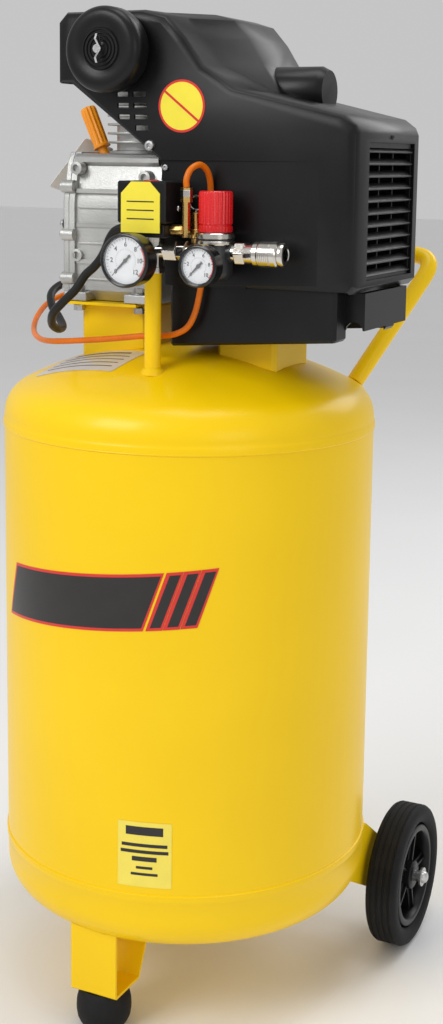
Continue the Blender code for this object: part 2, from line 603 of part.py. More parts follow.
# ---- moving parts of the pump -------------------------------------------------------------------
def make_shaft_line():
    """Crankshaft, rotor and fan turn together about X."""
    web_x = -0.0440
    shaft = add_piece("crankshaft", rod(0.0080, 0.208, 12), STEEL, (-0.036, 0, SHAFT_Z), (0, 90, 0))
    web = [(-0.020, -0.028), (0.020, -0.028), (0.020, -0.006), (0.0095, 0.020), (0, 0.0255),
           (-0.0095, 0.020), (-0.020, -0.006)]
    disc = add_tool("crank_web", slab(web, 0.0085), (web_x + 0.0005, 0, SHAFT_Z), (90, 0, 90))
    fuse(shaft, disc)
    add_piece("motor_rotor", pipe_ring(0.0355, 0.0080 + GAP, 0.080, 20), STEEL,
              (0.035, 0, SHAFT_Z), (0, 90, 0))
    blades, hub_radius, tip_radius, half_blade = 8, 0.016, 0.056, 0.0012
    star = []
    for blade in range(blades):
        turn = 2 * math.pi * blade / blades
        for along, beside in ((hub_radius, -half_blade), (tip_radius, -half_blade),
                              (tip_radius, half_blade), (hub_radius, half_blade)):
            star.append((along * math.cos(turn) - beside * math.sin(turn),
                         along * math.sin(turn) + beside * math.cos(turn)))
        between = turn + math.pi / blades
        star.append((hub_radius * math.cos(between), hub_radius * math.sin(between)))
    fan = add_piece("cooling_fan", slab(star, 0.022), BLACK_PLASTIC, (0.1470, 0, SHAFT_Z), (0, 90, 0))
    plate = add_tool("fan_plate", rod(0.0570, 0.0020, 20), (0.1460, 0, SHAFT_Z), (0, 90, 0))
    fan_bore = add_tool("fan_bore", rod(0.0080 + GAP, 0.10, 12), (0.11, 0, SHAFT_Z), (0, 90, 0))
    cut(fuse(fan, plate), fan_bore)


def make_piston():
    """Piston and connecting rod at top dead centre; the big end clears the crank by a millimetre."""
    top = HEAD_BOTTOM - 0.0065
    crown, skirt_bottom, skirt_inside = 0.006, 0.032, 0.0170
    outline = [(0, top - crown), (skirt_inside, top - crown), (skirt_inside, top - skirt_bottom),
               (BORE_RADIUS - GAP, top - skirt_bottom), (BORE_RADIUS - GAP, top), (0, top)]
    add_piece("piston", turned(outline, 16), CAST_ALUMINIUM, (CYLINDER_X, 0, 0))
    small_end = top - 0.018
    big_end = SHAFT_Z + CRANK_THROW
    thick = 0.0065
    x = -0.0520 - thick
    rod_piece = add_piece("connecting_rod", rod(0.0130, thick, 12), CAST_ALUMINIUM,
                          (x, 0, big_end), (0, 90, 0))
    shank = add_tool("rod_shank", block((thick - 0.0010, 0.0090, small_end - big_end)),
                     (x + thick / 2, 0, (small_end + big_end) / 2))
    eye = add_tool("rod_eye", rod(0.0075, thick - 0.0004, 12), (x + 0.0002, 0, small_end), (0, 90, 0))
    eye_hole = add_tool("rod_eye_hole", rod(0.0045, 0.03, 10), (x - 0.01, 0, small_end), (0, 90, 0))
    pin_hole = add_tool("rod_pin_hole", rod(0.0078, 0.03, 14), (x - 0.01, 0, big_end), (0, 90, 0))
    fuse(rod_piece, shank, eye)
    cut(rod_piece, eye_hole, pin_hole)


def make_motor():
    start = CASE_MOTOR_X + 0.0063
    stator = add_piece("motor_stator", pipe_ring(0.0620, 0.0360, 0.128, 20), DARK_METAL,
                       (start, 0, SHAFT_Z), (0, 90, 0))
    bell = add_tool("stator_relief", rod(0.0450, 0.022, 16), (start - 0.001, 0, SHAFT_Z), (0, 90, 0))
    cut(stator, bell)
    add_piece("run_capacitor", rod(0.0160, 0.074, 14, 0.0015), DARK_METAL,
              (0.055, CAPACITOR_Y, 0.898), (0, 90, 0))


# ---- shroud -------------------------------------------------------------------------------------
def shroud_outline(blend, inset):
    """Side view of the shroud, as (x, z): blend 0 is the front and 1 the back of the hump."""
    hump = [(front[0] + blend * (back[0] - front[0]), front[1] + blend * (back[1] - front[1]))
            for front, back in zip(FRONT_TOP, BACK_TOP)]
    hump = [(x - inset * 0.6, z - inset) for x, z in hump]
    low = SHROUD_BOTTOM + inset
    return [(-0.102 + inset, 0.910 + inset * 0.4), (-0.102 + inset, 0.968 - inset),
            (-0.094 + inset, 0.976 - inset), *hump, (0.192 - inset, 0.880 - inset),
            (0.203 - inset, 0.872 - inset), (SHROUD_END_X - inset, 0.865 - inset),
            (SHROUD_END_X - inset, low + 0.006), (0.200 - inset, low), (0.014 + inset, low),
            (0.008 + inset * 0.4, CREASE_Z + inset * 0.4), (-0.090 + inset, 0.910 + inset * 0.4)]


def shroud_loft(inset):
    half = SHROUD_HALF_WIDTH - inset
    rows = [(-half, 0.0, 0.0070), (-half + 0.0025, 0.0, 0.0022), (-half + 0.008, 0.0, 0.0),
            (-0.048, 0.15, 0.0), (-0.012, 1.0, 0.0), (half - 0.008, 1.0, 0.0),
            (half - 0.0025, 1.0, 0.0022), (half, 1.0, 0.0070)]
    return loft([[(x, y, z) for x, z in shroud_outline(blend, inset + corner)]
                 for y, blend, corner in rows])


def recess_face(x):
    """Where the front face of the recess lies; the wall behind it is lined, because it is cut through."""
    return -SHROUD_HALF_WIDTH + RECESS_DEPTH * (1 - x / RECESS_END) - 0.0001


def make_shroud():
    shroud = add_piece("shroud", shroud_loft(0.0), BLACK_PLASTIC)
    dome = add_tool("capacitor_dome", turned([(0, 0), (0.0235, 0), (0.0235, 0.076), (0.0200, 0.083),
                                              (0, 0.083)], 24), (0.052, CAPACITOR_Y, 0.905), (0, 90, 0))
    fuse(shroud, dome)
    inside = add_tool("shroud_inside", shroud_loft(SHROUD_WALL))
    dome_inside = add_tool("capacitor_dome_inside", rod(0.0210, 0.079, 20),
                           (0.053, CAPACITOR_Y, 0.905), (0, 90, 0))
    under = [(-0.0995, 0.880), (-0.0100, 0.700), (0.1985, 0.700), (0.1985, 0.740), (0.0300, 0.740),
             (0.0300, 0.8300), (-0.0860, 0.914), (-0.0995, 0.914)]
    half = SHROUD_HALF_WIDTH - SHROUD_WALL - 0.0006
    opening = add_tool("shroud_underside", slab(under, 2 * half), (0, half, 0), (90, 0, 0))
    grille = add_tool("shroud_end_opening", block((0.03, 0.122, 0.124)),
                      (SHROUD_END_X, GRILLE_Y, GRILLE_Z))
    intake = add_tool("shroud_intake_hole", rod(0.0168, 0.05, 18), (FILTER_X, -0.0635, FILTER_Z),
                      (90, 0, 0))
    recess = [(0.0, CREASE_Z), (0.0, 0.70), (RECESS_END, 0.70), (RECESS_END, CREASE_Z)]
    side_recess = add_tool("shroud_side_recess",
                           loft([[(x, -SHROUD_HALF_WIDTH - 0.02, z) for x, z in recess],
                                 [(x, recess_face(x), z) for x, z in recess]]))
    cut(shroud, side_recess, intake, grille)
    for number, (x, width) in enumerate(((-0.030, 0.016), (-0.012, 0.018))):
        for row in range(4):
            if number == 0 and row == 3:
                continue
            slot = add_tool(f"shroud_slot_{number}_{row}", block((width - 0.004, 0.02, 0.0045)),
                            (x + row * 0.001, -SHROUD_HALF_WIDTH, 0.899 - row * 0.0103))
            cut(shroud, slot)
    cut(shroud, inside, dome_inside, opening)
    lining = [(0.0150, 0.7228), (0.1000, 0.7228), (0.1000, CREASE_Z + 0.0040), (0.0100, CREASE_Z + 0.0040)]
    front, back = 0.0002, 0.0024
    liner = add_tool("shroud_lining", loft([[(x, recess_face(x) + behind, z) for x, z in lining]
                                            for behind in (front, back)]))
    ledge = add_tool("shroud_ledge", block((0.086, 0.0042, 0.0030)),
                     (0.0545, -SHROUD_HALF_WIDTH + 0.0035, CREASE_Z + 0.0021))
    fuse(shroud, liner, ledge)


def make_shroud_base():
    """The pan under the motor: four walls, deeper at the pump's end, whose sides reach up inside the
    shroud. A narrower tail has an arch cut in each side."""
    top = SHROUD_BOTTOM - GAP
    overlap = 0.008
    half = 0.079
    shape = loft([[(x, -half, low), (x, half, low), (x, half, top + overlap), (x, -half, top + overlap)]
                  for x, low in ((0.018, 0.664), (0.187, 0.677))])
    bmesh.ops.bevel(shape, geom=shape.edges[:], offset=0.003, segments=1, profile=0.5, affect="EDGES")
    pan = add_piece("shroud_base", shape, BLACK_PLASTIC)
    notch = add_tool("shroud_base_notch", block((0.020, 0.150, 0.050)), (0.018, 0, top + 0.025))
    cut(pan, notch)
    tail = add_tool("shroud_base_tail", block((0.030, 0.112, 0.034)), (0.191, 0, top - 0.017))
    fuse(pan, tail)
    inside = add_tool("shroud_base_inside", block((0.164, 0.153, 0.2)), (0.1025, 0, 0.70))
    tail_inside = add_tool("shroud_base_tail_inside", block((0.030, 0.107, 0.2)), (0.1885, 0, 0.70))
    cut(pan, inside, tail_inside)
    arch = add_tool("shroud_base_arch", rod(0.0085, 0.20, 12), (0.196, 0.10, 0.687), (90, 0, 0))
    cut(pan, arch)


def make_grille():
    """A frame with slots between level bars, seated behind the opening in the shroud's end."""
    back, front = 0.1985, 0.2032
    width, height = 0.130, 0.127
    panel = add_piece("fan_grille", block((front - back, width, height)), BLACK_PLASTIC,
                      ((front + back) / 2, GRILLE_Y, GRILLE_Z))
    bars = 11
    pitch = 0.0112
    for row in range(bars):
        z = GRILLE_Z + (row - (bars - 1) / 2) * pitch
        cut(panel, add_tool(f"grille_slot_{row}", block((0.02, width - 0.014, 0.0070)),
                            (front, GRILLE_Y, z)))


# ---- air controls -------------------------------------------------------------------------------
def make_outlet():
    post = add_piece("outlet_post", rod(POST_RADIUS, MANIFOLD_Z - 0.0215 - 0.60, 16), YELLOW,
                     (POST_X, POST_Y, 0.60))
    cut(post, UPPER_ENVELOPE)
    bottom = MANIFOLD_Z - 0.0212
    manifold = add_piece("manifold", slab(hexagon(0.017), 0.0330), NICKEL, (POST_X, POST_Y, bottom))
    right = add_tool("manifold_right", rod(0.0070, REGULATOR_X - 0.0170 - POST_X, 14),
                     (POST_X, POST_Y, MANIFOLD_Z), (0, 90, 0))
    right_hex = add_tool("manifold_hex", slab(hexagon(0.017), 0.013), (POST_X + 0.0135, POST_Y, MANIFOLD_Z),
                         (0, 90, 0))
    plugged = [(0, 0), (0.0050, 0), (0.0050, 0.0290), (0.0070, 0.0290), (0.0070, 0.0370), (0, 0.0370)]
    left = add_tool("manifold_left", turned(plugged, 12), (POST_X, POST_Y, MANIFOLD_Z), (0, -90, 0))
    front = add_tool("manifold_front", rod(0.0050, 0.0290, 12),
                     (POST_X, POST_Y, MANIFOLD_Z - 0.0075), (90, 0, 0))
    fuse(manifold, right, right_hex, left, front)


def make_switch():
    """Pressure switch: a base on the manifold, a cover, a push-pull knob and a lead gland."""
    x, y = POST_X, -0.112
    base_bottom = MANIFOLD_Z - 0.0212 + 0.0330 + GAP
    add_piece("switch_base", block((0.046, 0.036, 0.0125), 0.001), BLACK_PLASTIC,
              (x, y, base_bottom + 0.00625))
    cover_bottom = base_bottom + 0.0125 + GAP
    cover_top = 0.8200
    cover = add_piece("switch_cover", block((0.050, 0.040, cover_top - cover_bottom), 0.0015),
                      BLACK_PLASTIC, (x, y, (cover_top + cover_bottom) / 2))
    inside = add_tool("switch_cover_inside", block((0.046, 0.036, cover_top - cover_bottom)),
                      (x, y, (cover_top + cover_bottom) / 2 - 0.003))
    knob_hole = add_tool("switch_knob_hole", rod(0.0080, 0.03, 14), (x, y, cover_top - 0.015))
    cut(cover, inside, knob_hole)
    knob = [(0, -0.022), (0.0030, -0.022), (0.0030, -0.006), (0.0075, -0.006), (0.0075, -0.0008),
            (0.0068, 0), (0, 0)]
    add_piece("switch_knob", turned(knob, 14), RED_PLASTIC, (x, y, cover_top + 0.0008))
    gland = [(0, 0), (0.0060, 0), (0.0060, 0.0050), (0.0052, 0.0062), (0.0048, 0.0100), (0, 0.0100)]
    add_piece("lead_gland", turned(gland, 12), RUBBER, (x - 0.023 - GAP, -0.101, GLAND_Z), (0, -90, 0))


def gauge_case(name, x, y, z, radius, depth, stem):
    """A round case that faces the front, open over its dial, with a stem at its back."""
    lip = 0.0030
    outline = [(0, 0), (stem, 0), (stem, 0.0030), (radius - 0.0015, 0.0030), (radius, 0.0045),
               (radius, depth - 0.0010), (radius - 0.0010, depth), (radius - lip, depth),
               (radius - lip, depth - 0.0042), (0, depth - 0.0042)]
    return add_piece(name, turned(outline, 24), DARK_METAL, (x, y, z), (90, 0, 0))


def needle(name, x, y, z, length):
    """A pointer with a counterweight, at rest on zero, which is low on the left."""
    outline = [(-0.0011, 0.0), (-0.0008, -0.0040), (-0.0013, -0.0046), (-0.0011, -length * 0.42),
               (0.0011, -length * 0.42), (0.0013, -0.0046), (0.0008, -0.0040), (0.0011, 0.0),
               (0.0009, length * 0.45), (0.0002, length), (-0.0002, length), (-0.0009, length * 0.45)]
    pointer = add_piece(name, slab(outline, 0.0006), DARK_METAL, (x, y, z), (90, -135, 0))
    hub = add_tool(f"{name}_hub", rod(0.0019, 0.0014, 8), (x, y + 0.0004, z), (90, 0, 0))
    return fuse(pointer, hub)


def make_gauges():
    """Both pointers turn 3.5 mm behind their case's front edge."""
    x, z = TANK_GAUGE
    gauge_case("tank_gauge", x, TANK_GAUGE_BACK, z, TANK_GAUGE_RADIUS, TANK_GAUGE_DEPTH, 0.0065)
    needle("tank_needle", x, TANK_GAUGE_BACK - TANK_GAUGE_DEPTH + 0.0035, z, 0.0165)
    x, z = LINE_GAUGE
    gauge_case("line_gauge", x, LINE_GAUGE_BACK, z, LINE_GAUGE_RADIUS, LINE_GAUGE_DEPTH, 0.0060)
    needle("line_needle", x, LINE_GAUGE_BACK - LINE_GAUGE_DEPTH + 0.0035, z, 0.0120)


def make_regulator():
    x, y = REGULATOR_X, POST_Y
    outline = [(0, 0.7330), (0.0110, 0.7330), (0.0160, 0.7380), (0.0160, 0.7660), (0.0165, 0.7690),
               (0.0165, 0.7745), (0.0075, 0.7745), (0.0075, 0.7990), (0, 0.7990)]
    body = add_piece("regulator_body", turned(outline, 14), DARK_METAL, (x, y, 0))
    port = add_tool("regulator_port", rod(0.0085, 0.0345, 12), (x - 0.0162, y, MANIFOLD_Z), (0, 90, 0))
    front = add_tool("regulator_front", rod(0.0060, 0.0200, 12), (x + 0.0015, y, 0.7465), (90, 0, 0))
    fuse(body, port, front)
    outline = [(0, 0.8035), (0.0086, 0.8035), (0.0086, 0.7752), (0.0150, 0.7752), (0.0155, 0.7765),
               (0.0155, 0.8095), (0.0140, 0.8120), (0, 0.8120)]
    cap = turned([(radius, z - 0.79) for radius, z in outline], 24)
    add_piece("regulator_knob", cap, RED_PLASTIC, (x, y, 0.79))


def make_coupler():
    """Quick coupler on the outlet: a body with an open socket and a sprung sleeve round it."""
    place = (COUPLER_START, POST_Y, MANIFOLD_Z)
    outline = [(0.0040, 0), (0.0080, 0), (0.0080, 0.0030), (0.0100, 0.0040), (0.0100, 0.0130),
               (0.0095, 0.0145), (0.0095, 0.0460), (0.0108, 0.0465), (0.0108, 0.0500), (0.0095, 0.0515),
               (0.0058, 0.0515), (0.0058, 0.0180), (0.0040, 0.0160)]
    add_piece("coupler_body", turned(outline, 16), NICKEL, place, (0, 90, 0))
    sleeve = [(0.0096, 0.0215), (0.0112, 0.0215), (0.0112, 0.0290), (0.0118, 0.0300), (0.0118, 0.0440),
              (0.0112, 0.0455), (0.0096, 0.0455)]
    add_piece("coupler_sleeve", turned(sleeve, 16), NICKEL, place, (0, 90, 0))


def make_safety_valve():
    """A small relief valve on the manifold: a turned body, and a sprung stem with a pull ring."""
    bottom = MANIFOLD_Z + 0.0073
    outline = [(0.0022, 0), (0.0040, 0), (0.0040, 0.0040), (0.0060, 0.0045), (0.0060, 0.0120),
               (0.0048, 0.0130), (0.0048, 0.0270), (0.0022, 0.0285)]
    add_piece("safety_valve", turned(outline, 12), BRASS, (SAFETY_X, SAFETY_Y, bottom))
    top = bottom + 0.0290
    stem = add_piece("safety_ring", rod(0.0014, 0.0290, 8), STEEL, (SAFETY_X, SAFETY_Y, bottom + 0.0020))
    centre = 0.0065
    turn = [Vector((0, centre * math.cos(angle), centre * math.sin(angle)))
            for angle in (2 * math.pi * step / 12 for step in range(12))]
    fuse(stem, add_tool("safety_ring_loop", swept_loop(turn, 0.0009, 6),
                        (SAFETY_X, SAFETY_Y, top + 0.0010 + centre), (0, 0, 90)))


def swept_loop(points, radius, sides):
    """A closed ring of round wire through points that lie in one plane round the origin."""
    bm = bmesh.new()
    rings = []
    normal = points[0].cross(points[1]).normalized()
    for point in points:
        outward = point.normalized()
        rings.append([bm.verts.new(point + radius * (outward * math.cos(turn) + normal * math.sin(turn)))
                      for turn in (2 * math.pi * side / sides for side in range(sides))])
    for near, far in zip(rings, [*rings[1:], rings[0]]):
        for side in range(sides):
            after = (side + 1) % sides
            bm.faces.new((near[side], near[after], far[after], far[side]))
    return bm


def make_unloader():
    """Unloader valve on the side of the switch, with a compression fitting for the nylon line."""
    z = 0.7765
    body = add_piece("unloader_fitting", slab(hexagon(0.0100), 0.0130), BRASS,
                     (UNLOADER_X, UNLOADER_Y, 0.8015))
    stem = add_tool("unloader_stem", rod(0.0040, 0.0330, 8), (UNLOADER_X, UNLOADER_Y, 0.7700))
    arm = add_tool("unloader_arm", rod(0.0048, 0.0125, 8), (POST_X + 0.0235, UNLOADER_Y, z), (0, 90, 0))
    fuse(body, stem, arm)


def make_check_valve():
    """Check valve on the tank's inlet, fed by the delivery pipe and tapped by the nylon line."""
    body = add_piece("check_valve", rod(0.0110, 0.100, 14, 0.001), BRASS, (CHECK_X, CHECK_Y, 0.600))
    port = add_tool("check_valve_port", rod(0.0045, 0.021, 10), (CHECK_X, CHECK_Y, 0.6760), (0, -90, 0))
    fuse(body, port)
    cut(body, UPPER_ENVELOPE)
    route = [(CHECK_X, CHECK_Y, 0.7003), (CHECK_X, CHECK_Y, 0.730), (-0.083, 0.073, 0.780),
             (-0.076, 0.073, 0.850), (-0.064, 0.0755, 0.900), (-0.056, 0.0770, 0.925),
             (CYLINDER_X, 0.0730, 0.9372), (CYLINDER_X, 0.0640, 0.9380), (CYLINDER_X, 0.0503, 0.9380)]
    add_piece("delivery_pipe", swept(smooth_route(route, 0.018), 0.0050, 10), COPPER)


def make_drain():
    body = [(0.0025, 0.0480), (0.0062, 0.0480), (0.0062, 0.0540), (0.0085, 0.0545), (0.0085, 0.0610),
            (0.0062, 0.0615), (0.0062, 0.0700), (0.0025, 0.0700)]
    add_piece("drain_valve", turned(body, 12), BRASS, (0, 0, 0))
    screw = [(0, -0.012), (0.0095, -0.012), (0.0100, -0.011), (0.0100, -0.006), (0.0085, -0.005),
             (0.0030, -0.004), (0.0022, 0.0), (0.0022, 0.010), (0, 0.010)]
    add_piece("drain_screw", turned(screw, 12), BRASS, (0, 0, 0.0475))


def make_oil_plug():
    """Breather plug of the crankcase, which leans out over the end cover and pulls out along its axis."""
    outline = [(0, -0.010), (0.0050, -0.010), (0.0050, 0.0130), (0.0088, 0.0135), (0.0088, 0.0155),
               (0.0080, 0.0165), (0.0080, 0.0540), (0.0070, 0.0560), (0, 0.0560)]
    add_piece("oil_plug", turned(outline, 12), ORANGE_PLASTIC, OIL_SEAT, OIL_TILT)


clear_scene()
STAND = bpy.data.objects.new("stand", None)
STAND.location = (0, STAND_Y, 0)
bpy.context.scene.collection.objects.link(STAND)
UPPER_ENVELOPE = head_envelope("upper_head_envelope", True, UPPER_APEX - UPPER_SEAM, UPPER_SEAM)
LOWER_ENVELOPE = head_envelope("lower_head_envelope", False, LOWER_SEAM - LOWER_APEX, LOWER_SEAM)
SHELL_ENVELOPE = add_tool("shell_envelope", rod(TANK_RADIUS + SEAM_STEP + GAP, 0.4, TANK_SIDES),
                          (0, 0, LOWER_SEAM - SEAM_BAND))

make_tank()
make_foot()
make_wheel_brackets()
make_wheels()
make_handle()
make_saddles()
make_crankcase()
make_end_cover()
make_cylinder()
make_head()
make_filter()
make_shaft_line()
make_piston()
make_motor()
make_shroud()
make_shroud_base()
make_grille()
make_outlet()
make_switch()
make_gauges()
make_regulator()
make_coupler()
make_safety_valve()
make_unloader()
make_check_valve()
make_drain()
make_oil_plug()
add_cord("switch_lead", LEAD_ROUTE, LEAD_DIAMETER, RUBBER, 2)
add_cord("unloader_line", UNLOADER_ROUTE, LINE_DIAMETER, ORANGE_PLASTIC, 2)
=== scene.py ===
"""Looks of the upright air compressor: finishes, smooth rounds, fittings, dials, labels and cords.
Metres, +Z up; the front faces -Y and the motor is at +X."""
import json
import math

import bmesh
import bpy
from mathutils import Matrix, Vector


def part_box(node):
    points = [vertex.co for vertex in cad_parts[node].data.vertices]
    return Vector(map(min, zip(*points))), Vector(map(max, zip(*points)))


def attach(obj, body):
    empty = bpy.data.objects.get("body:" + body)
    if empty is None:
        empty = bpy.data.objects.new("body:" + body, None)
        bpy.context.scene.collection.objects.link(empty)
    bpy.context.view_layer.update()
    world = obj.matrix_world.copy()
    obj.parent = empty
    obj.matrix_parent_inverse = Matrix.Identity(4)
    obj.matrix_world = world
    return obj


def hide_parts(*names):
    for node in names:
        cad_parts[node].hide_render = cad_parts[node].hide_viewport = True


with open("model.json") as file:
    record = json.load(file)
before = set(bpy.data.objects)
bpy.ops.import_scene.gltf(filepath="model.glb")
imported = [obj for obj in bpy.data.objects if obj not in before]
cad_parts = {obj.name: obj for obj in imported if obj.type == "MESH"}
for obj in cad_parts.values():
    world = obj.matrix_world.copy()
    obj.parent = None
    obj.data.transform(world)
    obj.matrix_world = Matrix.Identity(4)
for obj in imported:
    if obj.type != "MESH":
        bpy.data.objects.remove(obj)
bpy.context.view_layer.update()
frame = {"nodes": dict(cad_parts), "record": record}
BODY_OF = {node: body for body, nodes in frame["record"]["behaviour"]["bodies"].items() for node in nodes}

# ---- driving dimensions -------------------------------------------------------------------------
SHELL_LOW, SHELL_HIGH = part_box("tank_shell")
AXIS_Y = (SHELL_LOW.y + SHELL_HIGH.y) / 2      # the tank's own axis
TANK_RADIUS = (SHELL_HIGH.x - SHELL_LOW.x) / 2
LOWER_SEAM = 0.16
UPPER_SEAM = 0.579
HEAD_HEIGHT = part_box("upper_head")[1].z - UPPER_SEAM
LOWER_HEIGHT = LOWER_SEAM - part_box("lower_head")[0].z
CROWN_RADIUS = 0.37
KNUCKLE_RADIUS = 0.035
SHROUD_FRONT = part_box("shroud")[0].y - AXIS_Y
SHROUD_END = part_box("shroud")[1].x
GAP = 0.0003
WALL = 0.003
TANK_SIDES = 144                                # facets round the tank
DECAL = 0.0003                                  # how far a printed film stands off its surface
FILM_STEP = 0.005                               # printed films bend to their surface in steps of this
OVERPRINT = 0.0002                              # how far a second colour stands off the first
FACET = math.radians(0.8)                       # faces closer in angle than this are one face
EDGE_ANGLE = math.radians(38)                   # sharper edges than this are broken

POST_X, POST_Y = 0.016, -0.108
MANIFOLD_Z = 0.757
REGULATOR_X = 0.08
SHAFT_Z = 0.785
CASE_FLANGE_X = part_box("end_cover")[0].x + 0.0085
LEAD_DIAMETER = 0.0085
LINE_DIAMETER = 0.0058
CURVE_STEPS = 8                                 # points along each stretch of a cord's route


def at(x, y, z):
    """A point given from the tank's axis, in the row's frame."""
    return Vector((x, y + AXIS_Y, z))


def link(made):
    bpy.context.scene.collection.objects.link(made)


def middle(node):
    low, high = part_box(node)
    return (low + high) / 2


# ---- camera -------------------------------------------------------------------------------------
AZIMUTH, DIP, ROLL = math.radians(26), math.radians(9.08), math.radians(0.73)
CAMERA_PLACE = (0.689, -1.34, 0.841)
LENS_MM, SENSOR_MM = 53.23, 36
FRAME_SHIFT = -0.109


def add_camera():
    data = bpy.data.cameras.new("camera")
    data.lens = LENS_MM
    data.sensor_width = SENSOR_MM
    data.shift_y = FRAME_SHIFT
    camera = bpy.data.objects.new("camera", data)
    link(camera)
    turn = (Matrix.Rotation(AZIMUTH, 4, "Z") @ Matrix.Rotation(math.pi / 2 - DIP, 4, "X")
            @ Matrix.Rotation(ROLL, 4, "Z"))
    camera.matrix_world = Matrix.Translation(at(*CAMERA_PLACE)) @ turn
    bpy.context.scene.camera = camera


# ---- finishes -----------------------------------------------------------------------------------
def finish(name, colour, rough, metallic, grain, depth, patch, tint, coat=0.0, specular=0.5,
           alpha=1.0, streak=(1, 1, 1)):
    """A surface whose colour, roughness and relief vary: broad patches for colour, a fine grain for the rest.
    streak squeezes the grain along an axis, as turning and brushing do."""
    made = bpy.data.materials.new(name)
    made.use_nodes = True
    nodes, links = made.node_tree.nodes, made.node_tree.links
    shader = nodes["Principled BSDF"]
    shader.inputs["Metallic"].default_value = metallic
    shader.inputs["Coat Weight"].default_value = coat
    shader.inputs["Coat Roughness"].default_value = 0.08
    shader.inputs["Specular IOR Level"].default_value = specular
    shader.inputs["Alpha"].default_value = alpha
    place = nodes.new("ShaderNodeTexCoord")
    stretch = nodes.new("ShaderNodeMapping")
    stretch.inputs["Scale"].default_value = streak
    links.new(place.outputs["Object"], stretch.inputs["Vector"])
    broad, fine = nodes.new("ShaderNodeTexNoise"), nodes.new("ShaderNodeTexNoise")
    broad.inputs["Scale"].default_value = patch
    broad.inputs["Detail"].default_value = 4
    links.new(place.outputs["Object"], broad.inputs["Vector"])
    fine.inputs["Scale"].default_value = grain
    fine.inputs["Detail"].default_value = 3
    links.new(stretch.outputs["Vector"], fine.inputs["Vector"])
    shades = nodes.new("ShaderNodeValToRGB")
    dim, bright = 0.3, 0.7
    shades.color_ramp.elements[0].position = dim
    shades.color_ramp.elements[1].position = bright
    shades.color_ramp.elements[0].color = (*[max(c * (1 - tint), 0) for c in colour], 1)
    shades.color_ramp.elements[1].color = (*[min(c * (1 + tint) + tint * 0.01, 1) for c in colour], 1)
    links.new(broad.outputs["Fac"], shades.inputs["Fac"])
    links.new(shades.outputs["Color"], shader.inputs["Base Color"])
    gloss = nodes.new("ShaderNodeMapRange")
    gloss.inputs["From Min"].default_value = dim
    gloss.inputs["From Max"].default_value = bright
    gloss.inputs["To Min"].default_value = rough[0]
    gloss.inputs["To Max"].default_value = rough[1]
    links.new(fine.outputs["Fac"], gloss.inputs["Value"])
    links.new(gloss.outputs["Result"], shader.inputs["Roughness"])
    relief = nodes.new("ShaderNodeBump")
    relief.inputs["Strength"].default_value = 1.0
    relief.inputs["Distance"].default_value = depth
    links.new(fine.outputs["Fac"], relief.inputs["Height"])
    links.new(relief.outputs["Normal"], shader.inputs["Normal"])
    made.diffuse_color = (*colour, 1)
    return made


YELLOW = finish("yellow_paint", (0.985, 0.63, 0.001), (0.3, 0.38), 0, 700, 0.000012, 6, 0.03, coat=0.08,
                specular=0.26)
BLACK = finish("black_moulded", (0.006, 0.006, 0.007), (0.27, 0.38), 0, 1600, 0.00004, 9, 0.3,
               specular=0.26)
GLOSS_BLACK = finish("black_gloss", (0.008, 0.008, 0.009), (0.16, 0.26), 0, 900, 0.00003, 14, 0.2)
RUBBER = finish("tyre_rubber", (0.008, 0.008, 0.009), (0.6, 0.78), 0, 1400, 0.0001, 25, 0.3,
                specular=0.25)
LEAD = finish("lead_jacket", (0.007, 0.007, 0.007), (0.36, 0.5), 0, 1300, 0.00004, 30, 0.2, specular=0.3)
ALUMINIUM = finish("cast_aluminium", (0.5, 0.5, 0.485), (0.36, 0.52), 0.85, 700, 0.00024, 22, 0.14)
STEEL = finish("zinc_steel", (0.55, 0.55, 0.55), (0.24, 0.4), 1.0, 500, 0.00004, 40, 0.12)
NICKEL = finish("nickel_plate", (0.66, 0.63, 0.58), (0.12, 0.24), 1.0, 300, 0.00002, 50, 0.08,
                streak=(1, 6, 6))
BRASS = finish("turned_brass", (0.72, 0.47, 0.16), (0.2, 0.34), 1.0, 300, 0.00003, 45, 0.12,
               streak=(1, 1, 6))
COPPER = finish("drawn_copper", (0.7, 0.33, 0.2), (0.26, 0.42), 1.0, 350, 0.00003, 30, 0.15)
RED = finish("red_knob", (0.72, 0.008, 0.01), (0.22, 0.34), 0, 900, 0.00003, 30, 0.06, coat=0.2)
ORANGE = finish("orange_tube", (0.74, 0.165, 0.003), (0.24, 0.36), 0, 700, 0.00003, 35, 0.12, specular=0.28)
PLUG_ORANGE = finish("orange_plug", (1.0, 0.33, 0.006), (0.3, 0.42), 0, 900, 0.00004, 35, 0.06)
LABEL_YELLOW = finish("label_film", (0.93, 0.78, 0.05), (0.28, 0.36), 0, 1500, 0.00002, 60, 0.03)
PALE_LABEL = finish("pale_label_film", (0.93, 0.76, 0.1), (0.22, 0.3), 0, 1500, 0.00002, 60, 0.03)
STICKER_RED = finish("red_print", (0.7, 0.03, 0.02), (0.3, 0.38), 0, 1500, 0.00002, 60, 0.05)
INK = finish("black_print", (0.016, 0.014, 0.013), (0.3, 0.4), 0, 1500, 0.00002, 60, 0.1)
PLATE = finish("plate_foil", (0.72, 0.72, 0.7), (0.34, 0.44), 0.35, 800, 0.00002, 40, 0.06, streak=(8, 1, 1))
DIAL = finish("dial_white", (0.86, 0.87, 0.88), (0.42, 0.52), 0, 1800, 0.00001, 80, 0.02)
CARD = finish("card_stock", (0.8, 0.78, 0.75), (0.68, 0.8), 0, 1500, 0.00004, 60, 0.04)
LENS = finish("gauge_lens", (0.9, 0.93, 0.94), (0.03, 0.06), 0, 600, 0.000004, 40, 0.02, alpha=0.1)
DARK = finish("black_enamel", (0.03, 0.03, 0.032), (0.26, 0.38), 0.3, 800, 0.00004, 30, 0.2)
